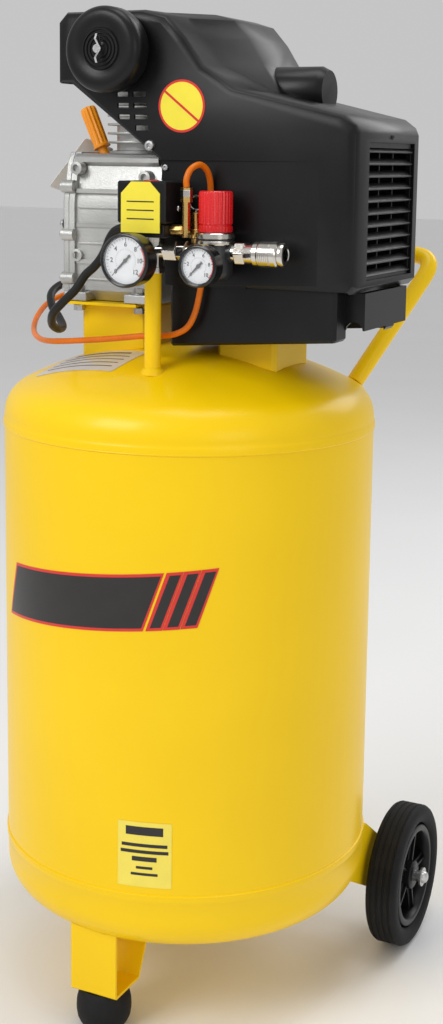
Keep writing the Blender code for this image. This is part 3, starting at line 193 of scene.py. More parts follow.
WINDING = finish("varnished_copper", (0.4, 0.16, 0.06), (0.3, 0.45), 0.7, 260, 0.0003, 30, 0.2)
FLOOR = finish("floor", (0.86, 0.86, 0.86), (0.55, 0.65), 0, 60, 0.00002, 2, 0.01)


# ---- mesh tools ---------------------------------------------------------------------------------
def piece(name, bm, look, body="frame", replaces=(), angle=35, bevel=0.0, segments=2):
    """A finished object from a bmesh, riding on a body."""
    bmesh.ops.recalc_face_normals(bm, faces=bm.faces)
    mesh = bpy.data.meshes.new(name)
    bm.to_mesh(mesh)
    bm.free()
    mesh.shade_smooth()
    mesh.set_sharp_from_angle(angle=math.radians(angle))
    made = bpy.data.objects.new(name, mesh)
    link(made)
    mesh.materials.append(look)
    if bevel:
        edge = made.modifiers.new("edges", "BEVEL")
        edge.width = bevel
        edge.segments = segments
        edge.limit_method = "ANGLE"
        edge.angle_limit = EDGE_ANGLE
        edge.harden_normals = True
    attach(made, body)
    if replaces:
        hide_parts(*replaces)
    return made


def polished(node, look, bevel=0.0, angle=35, segments=2):
    """The CAD node's own shape with its facets joined into clean faces, smooth rounds and broken edges."""
    bm = bmesh.new()
    bm.from_mesh(frame["nodes"][node].data)
    bmesh.ops.remove_doubles(bm, verts=bm.verts, dist=0.00001)
    bmesh.ops.dissolve_limit(bm, angle_limit=FACET, verts=bm.verts, edges=bm.edges)
    return piece(f"{node}_finished", bm, look, BODY_OF[node], (node,), angle, bevel, segments)


def turned(outline, sides=64):
    """Turn (radius, height) points about Z. An outline ends on the axis, or closes on itself."""
    bm = bmesh.new()
    rings = []
    for radius, height in outline:
        if radius == 0:
            rings.append([bm.verts.new((0, 0, height))])
            continue
        turn = [2 * math.pi * side / sides for side in range(sides)]
        rings.append([bm.verts.new((radius * math.cos(a), radius * math.sin(a), height)) for a in turn])
    pairs = list(zip(rings, rings[1:]))
    if outline[0][0] != 0:
        pairs.append((rings[-1], rings[0]))
    for lower, upper in pairs:
        for side in range(sides):
            after = (side + 1) % sides
            if len(lower) == 1:
                bm.faces.new((lower[0], upper[after], upper[side]))
            elif len(upper) == 1:
                bm.faces.new((lower[side], lower[after], upper[0]))
            else:
                bm.faces.new((lower[side], lower[after], upper[after], upper[side]))
    return bm


def skin(bm, loops):
    """Join loops of vertices one after another, and close both ends."""
    sides = len(loops[0])
    for start, end in zip(loops, loops[1:]):
        for side in range(sides):
            after = (side + 1) % sides
            bm.faces.new((start[side], start[after], end[after], end[side]))
    bm.faces.new(loops[0])
    bm.faces.new(loops[-1])


def ribbed(profile, ribs, depth, sides):
    """A fluted grip about Z, from (radius, height, share) points, where share is how deep its flutes are."""
    bm = bmesh.new()
    loops = []
    for radius, z, share in profile:
        loop = []
        for side in range(sides):
            turn = 2 * math.pi * side / sides
            reach = radius - share * depth * (0.5 + 0.5 * math.cos(ribs * turn))
            loop.append(bm.verts.new((reach * math.cos(turn), reach * math.sin(turn), z)))
        loops.append(loop)
    skin(bm, loops)
    return bm


def aimed(bm, place, axis=(0, 0, 1)):
    """Move a bmesh built along +Z so that it starts at place and runs along axis."""
    turn = Vector((0, 0, 1)).rotation_difference(Vector(axis)).to_matrix().to_4x4()
    bmesh.ops.transform(bm, matrix=Matrix.Translation(place) @ turn, verts=bm.verts)
    return bm


def box(size, place, turn=None):
    bm = bmesh.new()
    matrix = Matrix.Translation(place) @ (turn or Matrix.Identity(4)) @ Matrix.Diagonal((*size, 1.0))
    bmesh.ops.create_cube(bm, size=1.0, matrix=matrix)
    return bm


def joined(*parts):
    """Several bmeshes as one."""
    whole = bmesh.new()
    for part in parts:
        mesh = bpy.data.meshes.new("part")
        part.to_mesh(mesh)
        part.free()
        whole.from_mesh(mesh)
        bpy.data.meshes.remove(mesh)
    return whole


def slab(outline, thickness):
    """An outline in XY made thick along Z."""
    bm = bmesh.new()
    face = bm.faces.new([bm.verts.new((x, y, 0)) for x, y in outline])
    solid = bmesh.ops.extrude_face_region(bm, geom=[face])
    moved = [part for part in solid["geom"] if isinstance(part, bmesh.types.BMVert)]
    bmesh.ops.translate(bm, verts=moved, vec=(0, 0, thickness))
    return bm


def circle(radius, steps=64, place=(0, 0), start=0.0):
    """Corners round a circle in XY, from the angle start."""
    turns = [start + 2 * math.pi * step / steps for step in range(steps)]
    return [(place[0] + radius * math.cos(turn), place[1] + radius * math.sin(turn)) for turn in turns]


def hexagon(across_flats, start=30):
    return circle(across_flats / math.sqrt(3), 6, start=math.radians(start))


def rounded(width, height, radius):
    """A rectangle with round corners, centred on the origin."""
    points, steps = [], 5
    for corner, (sx, sy) in enumerate(((1, 1), (-1, 1), (-1, -1), (1, -1))):
        for step in range(steps + 1):
            turn = math.radians(90 * corner + 90 * step / steps)
            points.append((sx * (width / 2 - radius) + radius * math.cos(turn),
                           sy * (height / 2 - radius) + radius * math.sin(turn)))
    return points


def film(name, outline, where, look, thickness=0.00012):
    """A thin printed film: an outline in its own (u, v), laid on a surface by where(u, v, lift)."""
    bm = bmesh.new()
    face = bm.faces.new([bm.verts.new((u, v, 0)) for u, v in outline])
    bmesh.ops.triangulate(bm, faces=[face])
    for direction in ((1, 0, 0), (0, 1, 0)):
        reach = [u if direction[0] else v for u, v in outline]
        low, high = min(reach), max(reach)
        cuts = max(2, round((high - low) / FILM_STEP))
        for cut in range(1, cuts):
            plane = [axis * (low + (high - low) * cut / cuts) for axis in direction]
            bmesh.ops.bisect_plane(bm, geom=bm.verts[:] + bm.edges[:] + bm.faces[:], plane_co=plane,
                                   plane_no=direction)
    top = {vertex: where(vertex.co.x, vertex.co.y, thickness) for vertex in bm.verts}
    solid = bmesh.ops.extrude_face_region(bm, geom=bm.faces[:])
    raised = [part for part in solid["geom"] if isinstance(part, bmesh.types.BMVert)]
    lifted = {vertex: where(vertex.co.x, vertex.co.y, 0.0) for vertex in raised}
    for vertex, point in {**top, **lifted}.items():
        vertex.co = point
    return piece(name, bm, look, angle=40)


def screw(name, place, axis, radius, look=STEEL):
    """A pan-head screw with a round socket."""
    head = [(0, radius * 0.25), (radius * 0.42, radius * 0.25), (radius * 0.46, radius * 0.62),
            (radius * 0.82, radius * 0.58), (radius, radius * 0.3), (radius, -0.0004), (0, -0.0004)]
    return piece(name, aimed(turned(head, 24), place, axis), look)


def bolt(name, place, across, tall):
    """An upright hexagon bolt head on a washer."""
    thin, reach = 0.0012, across * 0.82
    head = slab(hexagon(across), tall)
    bmesh.ops.translate(head, verts=head.verts, vec=(0, 0, thin))
    washer = turned([(0, 0), (reach, 0), (reach, thin), (0, thin)], 28)
    return piece(name, aimed(joined(head, washer), place), STEEL, bevel=0.0005)


# ---- cords --------------------------------------------------------------------------------------
LEAD_ROUTE = [(-0.0178, -0.101, 0.7755), (-0.0225, -0.101, 0.7752), (-0.03, -0.1, 0.7718),
              (-0.0362, -0.0985, 0.7645), (-0.0412, -0.097, 0.755), (-0.047, -0.096, 0.746),
              (-0.055, -0.096, 0.737), (-0.064, -0.097, 0.729),
              (-0.073, -0.1, 0.715), (-0.087, -0.101, 0.702), (-0.101, -0.096, 0.69),
              (-0.112, -0.08, 0.678), (-0.118, -0.06, 0.671), (-0.125, -0.04, 0.671),
              (-0.14, -0.023, 0.678), (-0.156, -0.011, 0.688), (-0.168, 0.008, 0.7),
              (-0.166, 0.032, 0.708), (-0.148, 0.05, 0.705), (-0.124, 0.056, 0.69),
              (-0.1, 0.057, 0.676), (-0.075, 0.059, 0.668), (-0.045, 0.06, 0.668),
              (-0.02, 0.057, 0.676), (-0.004, 0.053, 0.688), (0.009, 0.052, 0.692),
              (0.0177, 0.052, 0.692)]

LINE_ROUTE = [(0.0545, -0.1165, 0.815), (0.0545, -0.1165, 0.8225),
              (0.057, -0.113, 0.831), (0.061, -0.103, 0.835), (0.064, -0.0935, 0.829),
              (0.0645, -0.088, 0.815), (0.064, -0.087, 0.79), (0.06, -0.087, 0.76),
              (0.057, -0.0875, 0.735), (0.054, -0.088, 0.715), (0.05, -0.089, 0.698),
              (0.043, -0.09, 0.685), (0.031, -0.091, 0.678), (0.016, -0.091, 0.6755),
              (-0.007, -0.091, 0.6735), (-0.04, -0.091, 0.669), (-0.074, -0.089, 0.665),
              (-0.112, -0.08, 0.661), (-0.14, -0.06, 0.66), (-0.166, -0.03, 0.664),
              (-0.181, 0.0, 0.675), (-0.184, 0.03, 0.688), (-0.17, 0.057, 0.696),
              (-0.145, 0.072, 0.689), (-0.124, 0.075, 0.6775), (-0.112, 0.075, 0.676),
              (-0.1064, 0.075, 0.676)]


def smooth_route(points):
    """Close points along a Catmull-Rom curve through a route's own points."""
    route = [at(*point) for point in points]
    padded = [2 * route[0] - route[1], *route, 2 * route[-1] - route[-2]]
    fine = []
    for before, start, end, after in zip(padded, padded[1:], padded[2:], padded[3:]):
        for step in range(CURVE_STEPS):
            t = step / CURVE_STEPS
            fine.append(0.5 * (2 * start + (end - before) * t
                               + (2 * before - 5 * start + 4 * end - after) * t ** 2
                               + (3 * start - before - 3 * end + after) * t ** 3))
    fine.append(route[-1])
    return fine


def add_cord(name, points, diameter, look, replaced):
    """A round cord held at both ends, along its route."""
    curve = bpy.data.curves.new(name, "CURVE")
    curve.dimensions = "3D"
    curve.bevel_depth = diameter / 2
    curve.bevel_resolution = 6
    curve.use_fill_caps = True
    route = smooth_route(points)
    spline = curve.splines.new("POLY")
    spline.points.add(len(route) - 1)
    for target, point in zip(spline.points, route):
        target.co = (*point, 1.0)
    cord = bpy.data.objects.new(name, curve)
    link(cord)
    curve.materials.append(look)
    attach(cord, "frame")
    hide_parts(replaced)


# ---- tank ---------------------------------------------------------------------------------------
def head_points(height, offset=0.0, steps=14):
    """Outer outline of a dished head, from the rim up to the apex, as (radius, height above the seam)."""
    crown, knuckle = CROWN_RADIUS + offset, KNUCKLE_RADIUS + offset
    centre_radius = TANK_RADIUS - KNUCKLE_RADIUS
    crown_centre = height + offset - crown
    centre_height = crown_centre + math.sqrt((crown - knuckle) ** 2 - centre_radius ** 2)
    meeting = math.atan2(centre_height - crown_centre, centre_radius)
    turns = [meeting * step / steps for step in range(steps + 1)]
    slopes = [meeting + (math.pi / 2 - meeting) * step / steps for step in range(1, steps)]
    return [*[(centre_radius + knuckle * math.cos(a), centre_height + knuckle * math.sin(a)) for a in turns],
            *[(crown * math.cos(a), crown_centre + crown * math.sin(a)) for a in slopes],
            (0, height + offset)]


def head_surface(x, y):
    """Height of the upper head at a place given from the tank's axis."""
    radius = math.hypot(x, y)
    outline = head_points(HEAD_HEIGHT, steps=40)
    for (far, low), (near, high) in zip(outline, outline[1:]):
        if near <= radius <= far:
            return UPPER_SEAM + low + (high - low) * (far - radius) / max(far - near, 1e-9)
    return UPPER_SEAM + outline[0][1]


def make_tank():
    for node, height, seam, up in (("upper_head", HEAD_HEIGHT, UPPER_SEAM, 1),
                                   ("lower_head", LOWER_HEIGHT, LOWER_SEAM, -1)):
        lap = TANK_RADIUS + 0.0012
        inside = [(radius - WALL, z) if radius else (0, z - WALL) for radius, z in head_points(height)]
        rim = [(TANK_RADIUS - WALL, GAP), (lap - 0.0006, GAP), (lap, 0.0009), (lap, 0.0058),
               (lap - 0.0004, 0.0072), (TANK_RADIUS, 0.0086)]
        outline = [*reversed(inside), *rim, *head_points(height)]
        bm = turned([(radius, z * up) for radius, z in outline], TANK_SIDES)
        piece(f"{node}_dished", aimed(bm, at(0, 0, seam)), YELLOW, replaces=(node,), angle=30)
    tall = UPPER_SEAM - LOWER_SEAM
    inner = TANK_RADIUS - WALL
    shell = turned([(TANK_RADIUS, 0), (TANK_RADIUS, tall), (inner, tall), (inner, 0)], TANK_SIDES)
    piece("tank_shell_rolled", aimed(shell, at(0, 0, LOWER_SEAM)), YELLOW, replaces=("tank_shell",))
    for name, z in (("lower", LOWER_SEAM - 0.0006), ("upper", UPPER_SEAM + 0.0006)):
        bead = [(TANK_RADIUS - 0.0004, -0.0016), (TANK_RADIUS + 0.0009, -0.001), (TANK_RADIUS + 0.0014, 0.0),
                (TANK_RADIUS + 0.0009, 0.001), (TANK_RADIUS - 0.0004, 0.0016)]
        piece(f"weld_bead_{name}", aimed(turned(bead, TANK_SIDES), at(0, 0, z)), YELLOW)


def on_shell(u, v, lift):
    """u runs round the tank from its front, as a length, and v is a height."""
    turn = u / TANK_RADIUS
    radius = TANK_RADIUS + DECAL + lift
    return at(radius * math.sin(turn), -radius * math.cos(turn), v)


def on_stripe(u, v, lift):
    """The stripe climbs a little from left to right."""
    return on_shell(u, v + 0.1 * u, lift)


def make_stripe():
    """A plain two-colour stripe, which ends in three slanted bars."""
    low, high, slant = 0.414, 0.462, 0.018
    left, right = math.radians(-41) * TANK_RADIUS, math.radians(14) * TANK_RADIUS
    bars = [(right + 0.008 + number * 0.016, right + 0.018 + number * 0.016) for number in range(3)]
    for number, (start, end) in enumerate([(left, right), *bars]):
        edge = 0.0028
        outer = [(start - edge * 1.5, low - edge), (end + edge * 0.5, low - edge),
                 (end + slant + edge, high + edge), (start + slant - edge, high + edge)]
        inner = [(start, low), (end, low), (end + slant, high), (start + slant, high)]
        film(f"stripe_edge_{number}", outer, on_stripe, STICKER_RED)
        film(f"stripe_fill_{number}", inner, lambda u, v, lift: on_stripe(u, v, lift + OVERPRINT), INK)


def make_tank_label():
    """A pale label low on the tank, with plain bars where its print would be."""
    left, right = math.radians(7.2) * TANK_RADIUS, math.radians(23.2) * TANK_RADIUS
    low, high = 0.168, 0.232
    film("tank_label", [(left, low), (right, low), (right, high), (left, high)], on_shell, PALE_LABEL)
    bars = [(0.8, 0.13, 0.008), (0.62, 0.05, 0.004), (0.52, 0.05, 0.003), (0.4, 0.07, 0.014),
            (0.28, 0.04, 0.018), (0.18, 0.04, 0.013)]
    for number, (share, tall, indent) in enumerate(bars):
        base = low + share * (high - low)
        top = base + tall * (high - low)
        bar = [(left + indent, base), (right - indent, base), (right - indent, top), (left + indent, top)]
        film(f"tank_label_bar_{number}", bar, lambda u, v, lift: on_shell(u, v, lift + OVERPRINT), INK)


def make_rating_plate():
    """A foil plate on the upper head, with ruled lines and no words."""
    turn = math.radians(-11.6)

    def on_head(u, v, lift):
        x = -0.069 + u * math.cos(turn) - v * math.sin(turn)
        y = -0.078 + u * math.sin(turn) + v * math.cos(turn)
        return at(x, y, head_surface(x, y) + DECAL + lift)

    film("rating_plate", rounded(0.102, 0.054, 0.004), on_head, PLATE)
    for number in range(5):
        v = 0.017 - number * 0.0085
        tall = 0.003 if number == 0 else 0.0012
        reach = 0.036 if number == 0 else 0.042
        rule = [(-reach, v), (reach, v), (reach, v + tall), (-reach, v + tall)]
        film(f"rating_plate_rule_{number}", rule, lambda u, w, lift: on_head(u, w, lift + OVERPRINT), INK)


# ---- running gear -------------------------------------------------------------------------------
def make_wheels():
    for side, name in ((-1, "left"), (1, "right")):
        centre = middle(f"tyre_{name}")
        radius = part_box(f"tyre_{name}")[1].z - centre.z
        body = BODY_OF[f"tyre_{name}"]
        half = [(0.0562, 0.0125), (0.0585, 0.0152), (0.062, 0.0166), (0.0665, 0.017), (0.0705, 0.0164),
                (0.0732, 0.0146)]
        ribs = []
        for place in (0.0098, 0.0033, -0.0033, -0.0098):
            ribs += [(radius - 0.0001, place + 0.0014), (radius - 0.0012, place + 0.0006),
                     (radius - 0.0012, place - 0.0006), (radius - 0.0001, place - 0.0014)]
        tread = [*half, (radius - 0.0006, 0.0125), *ribs, (radius - 0.0006, -0.0125),
                 *[(r, -z) for r, z in reversed(half)]]
        piece(f"tyre_{name}_ribbed", aimed(turned(tread, 120), centre, (side, 0, 0)), RUBBER, body,
              (f"tyre_{name}",), angle=28)
        lip = [(0.0546, 0.0125), (0.0535, 0.0142), (0.05, 0.015), (0.0478, 0.0146), (0.0465, 0.013),
               (0.0455, 0.004)]
        ring = turned([(0.0546, -0.0125), *lip, *[(r, -z) for r, z in reversed(lip[1:])]], 96)
        boss = [(0.0158, 0.004), (0.015, 0.0125), (0.0125, 0.014), (0.0062, 0.014)]
        hub = turned([*[(r, -z) for r, z in reversed(boss)], *boss], 48)
        arms = []
        for spoke in range(5):
            turn = Matrix.Rotation(math.radians(72 * spoke), 4, "Z")
            arm = slab([(0.014, -0.0068), (0.03, -0.005), (0.0472, -0.0072), (0.0472, 0.0072),
                        (0.03, 0.005), (0.014, 0.0068)], 0.013)
            bmesh.ops.translate(arm, verts=arm.verts, vec=(0, 0, -0.0065))
            bmesh.ops.transform(arm, matrix=turn, verts=arm.verts)
            rib = box((0.034, 0.003, 0.019), (0.0305, 0, 0))
            bmesh.ops.transform(rib, matrix=turn, verts=rib.verts)
            arms += [arm, rib]
        wheel = joined(ring, hub, *arms)
        quarter = Matrix.Rotation(math.radians(90), 3, "Z")
        bmesh.ops.rotate(wheel, verts=wheel.verts, cent=(0, 0, 0), matrix=quarter)
        piece(f"rim_{name}_spoked", aimed(wheel, centre, (side, 0, 0)), BLACK, body, (f"rim_{name}",),
              bevel=0.0008)
        nut = middle(f"hub_nut_{name}")
        cap = turned([(0, 0.0037), (0.003, 0.0034), (0.0052, 0.0022), (0.0064, 0.0002), (0.0066, -0.0017),
                      (0.01, -0.0017), (0.01, -0.0038), (0, -0.0038)], 36)
        piece(f"hub_nut_{name}_domed", aimed(cap, nut, (side, 0, 0)), STEEL, "frame", (f"hub_nut_{name}",))
    for node in ("wheel_bracket_left", "wheel_bracket_right"):
        polished(node, YELLOW, 0.001)
    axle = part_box("wheel_axle")
    length = axle[1].x - axle[0].x
    bar = turned([(0, 0), (0.0054, 0), (0.006, 0.0008), (0.006, length - 0.0008), (0.0054, length),
                  (0, length)], 40)
    start = Vector((axle[0].x, middle("wheel_axle").y, middle("wheel_axle").z))
    piece("wheel_axle_bar", aimed(bar, start, (1, 0, 0)), STEEL, replaces=("wheel_axle",))


def make_foot():
    low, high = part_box("foot_rubber")
    centre = middle("foot_rubber")
    tall = high.z - low.z
    outline = [(0, 0), (0.017, 0), (0.0205, 0.001), (0.0235, 0.004), (0.0258, 0.009), (0.0268, 0.015),
               (0.027, 0.019), (0.0266, 0.026), (0.025, 0.0325), (0.0232, 0.0362), (0.0215, tall), (0, tall)]
    piece("foot_rubber_round", aimed(turned(outline, 64), Vector((centre.x, centre.y, 0))), RUBBER,
          replaces=("foot_rubber",))
    polished("foot_bracket", YELLOW, 0.0012)
    bolt("foot_bolt", Vector((centre.x, centre.y, tall + 0.004)), 0.013, 0.007)


def make_handle():
    """The same bent tube as the frame's, with a rounder section and closer bends."""
    radius = 0.009
    foot, corner, bend = Vector((0.122, 0.12, 0.6)), Vector((0.183, 0.222, 0.741)), 0.03
    leg = (corner - foot).normalized()
    near, far = corner - leg * bend, corner + Vector((-bend, 0, 0))
    foot = foot + leg * 0.016
    rounding = [(1 - t) ** 2 * near + 2 * t * (1 - t) * corner + t ** 2 * far
                for t in (step / 14 for step in range(15))]
    half = [foot, *rounding]
    route = [*half, *[Vector((-point.x, point.y, point.z)) for point in reversed(half)]]
    sides = 32
    bm = bmesh.new()
    rings = []
    across = (route[1] - route[0]).orthogonal().normalized()
    for place, point in enumerate(route):
        along = (route[min(place + 1, len(route) - 1)] - route[max(place - 1, 0)]).normalized()
        across = (across - along * across.dot(along)).normalized()
        up = along.cross(across)
        rings.append([bm.verts.new(at(*(point + radius * (across * math.cos(a) + up * math.sin(a)))))
                      for a in (2 * math.pi * side / sides for side in range(sides))])
    skin(bm, rings)
    piece("handle_tube", bm, YELLOW, replaces=("handle",))
    for side in (-1, 1):
        place = Vector((side * foot.x, foot.y, head_surface(foot.x, foot.y)))
        collar = turned([(0.0088, -0.003), (0.0125, -0.003), (0.0118, 0.0018), (0.009, 0.0046)], 32)
        lean = Vector((side * leg.x, leg.y, leg.z))
        piece(f"handle_weld_{'right' if side > 0 else 'left'}", aimed(collar, at(*place), lean), YELLOW)


# ---- pump ---------------------------------------------------------------------------------------
def make_pump():
    for node in ("crankcase", "end_cover"):
        polished(node, ALUMINIUM, 0.0014, 30)
    for node in ("pump_saddle", "motor_saddle"):
        polished(node, YELLOW, 0.0008)
    polished("cylinder_head", ALUMINIUM, 0.0012, 30)
    polished("valve_plate", STEEL, 0.0004)
    cover_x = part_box("end_cover")[0].x
    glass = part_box("sight_glass")
    ring = turned([(0, 0.015), (0.0078, 0.0146), (0.0088, 0.0138), (0.0112, 0.0138), (0.013, 0.012),
                   (0.0134, 0.0086), (0.0098, 0.0086), (0.0098, 0), (0, 0)], 40)
    seat = middle("sight_glass")
    piece("sight_glass_ring", aimed(ring, Vector((glass[1].x, seat.y, seat.z)), (-1, 0, 0)), NICKEL,
          replaces=("sight_glass",))
    for number, (y, z) in enumerate(((-0.046, 0.712), (0.046, 0.712), (-0.05, 0.775), (0.05, 0.775),
                                     (-0.034, 0.834), (0.034, 0.834))):
        screw(f"cover_screw_{number}", at(cover_x + 0.006, y, z), (-1, 0, 0), 0.0048)
    for number, (x, z) in enumerate(((-0.098, 0.83), (-0.098, 0.745), (-0.022, 0.822), (-0.022, 0.742))):
        boss = turned([(0, -0.004), (0.0066, -0.004), (0.0062, 0.0052), (0.0036, 0.0056), (0.003, 0.002),
                       (0, 0.002)], 28)
        piece(f"case_boss_{number}", aimed(boss, at(x, -0.0525, z), (0, -1, 0)), ALUMINIUM)
    for number, z in enumerate((0.722, 0.757, 0.792)):
        rib = box((0.084, 0.003, 0.0022), at(-0.055, -0.0545, z))
        piece(f"case_rib_{number}", rib, ALUMINIUM, bevel=0.0007)
    for number, z in enumerate((0.722, 0.765, 0.812)):
        ear = turned([(0, 0), (0.0062, 0), (0.0062, 0.0135), (0.005, 0.0145), (0, 0.0145)], 28)
        piece(f"case_ear_{number}", aimed(ear, at(CASE_FLANGE_X, -0.056, z), (1, 0, 0)), ALUMINIUM)
        screw(f"case_ear_screw_{number}", at(CASE_FLANGE_X - 0.0002, -0.056, z), (-1, 0, 0), 0.0042)
    for number, (x, y) in enumerate(((-0.096, -0.055), (-0.028, -0.055), (-0.096, 0.055), (-0.028, 0.055))):
        foot = box((0.026, 0.018, 0.009), at(x, y, 0.705))
        piece(f"case_foot_{number}", foot, ALUMINIUM, bevel=0.0015)
        bolt(f"case_foot_bolt_{number}", at(x, y, 0.7095), 0.01, 0.005)
        nut = slab(hexagon(0.01), 0.006)
        piece(f"saddle_nut_{number}", aimed(nut, at(x, y, 0.6905)), STEEL, bevel=0.0006)
    low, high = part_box("cylinder")
    base, top, fins = low.z + 0.006, high.z, 7
    outline = [(0.021, low.z), (0.024, low.z), (0.024, base), (0.036, base), (0.036, base + 0.0045)]
    pitch = (top - base - 0.009) / fins
    for fin in range(fins):
        start = base + 0.0055 + fin * pitch
        outline += [(0.0285, start), (0.0285, start + pitch - 0.0024), (0.0376, start + pitch - 0.002),
                    (0.038, start + pitch - 0.001), (0.0376, start + pitch)]
    outline += [(0.03, top - 0.0032), (0.038, top - 0.003), (0.038, top), (0.021, top)]
    centre = middle("cylinder")
    piece("cylinder_finned", aimed(turned(outline, 72), Vector((centre.x, centre.y, 0))), ALUMINIUM,
          replaces=("cylinder",))
    head_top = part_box("cylinder_head")[1].z
    for number, (x, y) in enumerate(((-0.086, -0.038), (-0.086, 0.038), (-0.014, -0.038), (-0.014, 0.038))):
        bolt(f"head_bolt_{number}", at(x, y, head_top - 0.0005), 0.009, 0.005)


def make_filter():
    """The intake filter: a ribbed lid with rings round its wing nut, on a deeper body."""
    lid_low, lid_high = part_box("filter_lid")
    body_low, body_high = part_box("filter_body")
    radius = (lid_high.x - lid_low.x) / 2
    deep = lid_high.y - lid_low.y
    rings = [(0, deep - 0.0018), (0.005, deep - 0.0018)]
    for ring in (0.0075, 0.011, 0.0145, 0.018):
        rings += [(ring - 0.0012, deep - 0.0022), (ring - 0.0005, deep - 0.0009),
                  (ring + 0.0005, deep - 0.0009), (ring + 0.0012, deep - 0.0022)]
    edge = [(0.0215, deep - 0.0014), (0.026, deep - 0.0002), (0.03, deep - 0.0003)]
    for step in range(1, 8):
        turn = math.radians(90 * step / 8)
        edge.append((radius - 0.0085 + 0.0085 * math.sin(turn), deep - 0.0088 + 0.0085 * math.cos(turn)))
    outline = [*rings, *edge, (radius, deep - 0.0088), (radius, 0.0014), (radius - 0.001, 0.0004),
               (radius - 0.004, 0), (0, 0)]
    place = Vector((middle("filter_lid").x, lid_high.y, middle("filter_lid").z))
    piece("filter_lid_ringed", aimed(turned(outline, 96), place, (0, -1, 0)), BLACK,
          replaces=("filter_lid",), angle=28)
    deep = body_high.y - body_low.y
    outline = [(0, deep), (radius - 0.006, deep), (radius - 0.002, deep - 0.0006), (radius, deep - 0.0022),
               (radius, 0.011)]
    for step in range(1, 7):
        turn = math.radians(90 * step / 6)
        outline.append((radius - 0.011 + 0.011 * math.cos(turn), 0.011 - 0.0105 * math.sin(turn)))
    outline += [(0.012, 0.0), (0, 0.0)]
    place = Vector((middle("filter_body").x, body_high.y, middle("filter_body").z))
    piece("filter_body_round", aimed(turned(outline, 96), place, (0, -1, 0)), BLACK,
          replaces=("filter_body",), angle=28)
    polished("wing_nut", STEEL, 0.0004)


# ---- shroud -------------------------------------------------------------------------------------
def make_shroud():
    polished("shroud", BLACK, 0.0012, 32, 3)
    polished("shroud_base", BLACK, 0.001)
    screw("shroud_screw_0", at(0.0, SHROUD_FRONT + 0.0002, 0.852), (0, -1, 0), 0.0052)
    screw("shroud_screw_1", at(0.015, SHROUD_FRONT + 0.0034, 0.832), (0, -1, 0), 0.0032)
    screw("shroud_screw_2", at(SHROUD_END - 0.0002, 0.004, 0.8625), (1, 0, 0), 0.0024, GLOSS_BLACK)

    def on_side(u, v, lift):
        return at(u, SHROUD_FRONT - DECAL - lift, v)

    x, z = 0.033, 0.888
    film("sticker_ring", circle(0.024, place=(x, z)), on_side, STICKER_RED)
    film("sticker", circle(0.0218, place=(x, z)), lambda u, v, lift: on_side(u, v, lift + OVERPRINT),
         LABEL_YELLOW)
    slope, reach, half = math.radians(-38), 0.0222, 0.0011
    bar = [(x + along * math.cos(slope) - beside * math.sin(slope),
            z + along * math.sin(slope) + beside * math.cos(slope))
           for along, beside in ((-reach, -half), (reach, -half), (reach, half), (-reach, half))]
    film("sticker_bar", bar, lambda u, v, lift: on_side(u, v, lift + 2 * OVERPRINT), STICKER_RED)


def make_grille():
    """A frame with tilted slats behind two thin uprights, in the shroud's end."""
    low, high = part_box("fan_grille")
    centre = (low + high) / 2
    width, height = high.y - low.y, high.z - low.z
    deep = high.x - low.x
    rim = 0.0065
    parts = [box((deep, rim, height), (centre.x, low.y + rim / 2, centre.z)),
             box((deep, rim, height), (centre.x, high.y - rim / 2, centre.z)),
             box((deep, width, rim), (centre.x, centre.y, low.z + rim / 2)),
             box((deep, width, rim), (centre.x, centre.y, high.z - rim / 2))]
    tilt = Matrix.Rotation(math.radians(38), 4, "Y")
    slats, pitch = 11, 0.0112
    for slat in range(slats):
        z = centre.z + (slat - slats // 2) * pitch
        parts.append(box((0.0088, width - 0.01, 0.0017), (centre.x + 0.0002, centre.y, z), tilt))
    for share in (0.38, 0.66):
        upright = (centre.x - 0.0028, low.y + width * share, centre.z)
        parts.append(box((0.0016, 0.002, height - 0.008), upright))
    piece("fan_grille_louvred", joined(*parts), BLACK, replaces=("fan_grille",), bevel=0.0005)


def make_motor():
    for node, look, bevel in (("motor_stator", DARK, 0.001), ("motor_rotor", STEEL, 0.0006),
                              ("cooling_fan", BLACK, 0.0003), ("crankshaft", STEEL, 0.0004),
                              ("connecting_rod", ALUMINIUM, 0.0004), ("piston", ALUMINIUM, 0.0004),
                              ("run_capacitor", DARK, 0.0005)):
        polished(node, look, bevel)
    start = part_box("motor_stator")
    for name, x in (("pump", start[0].x + 0.0225), ("fan", start[1].x + 0.0002)):
        winding = turned([(0.04, 0), (0.0445, -0.0004), (0.0445, 0.0002), (0.04, 0.0004)], 60)
        if name == "fan":
            bmesh.ops.scale(winding, verts=winding.verts, vec=(1.15, 1.15, 6))
        piece(f"winding_{name}", aimed(winding, at(x, 0, SHAFT_Z), (1, 0, 0)), WINDING)


# ---- air controls -------------------------------------------------------------------------------
SWEEP = 270                                     # degrees from a dial's first number to its last


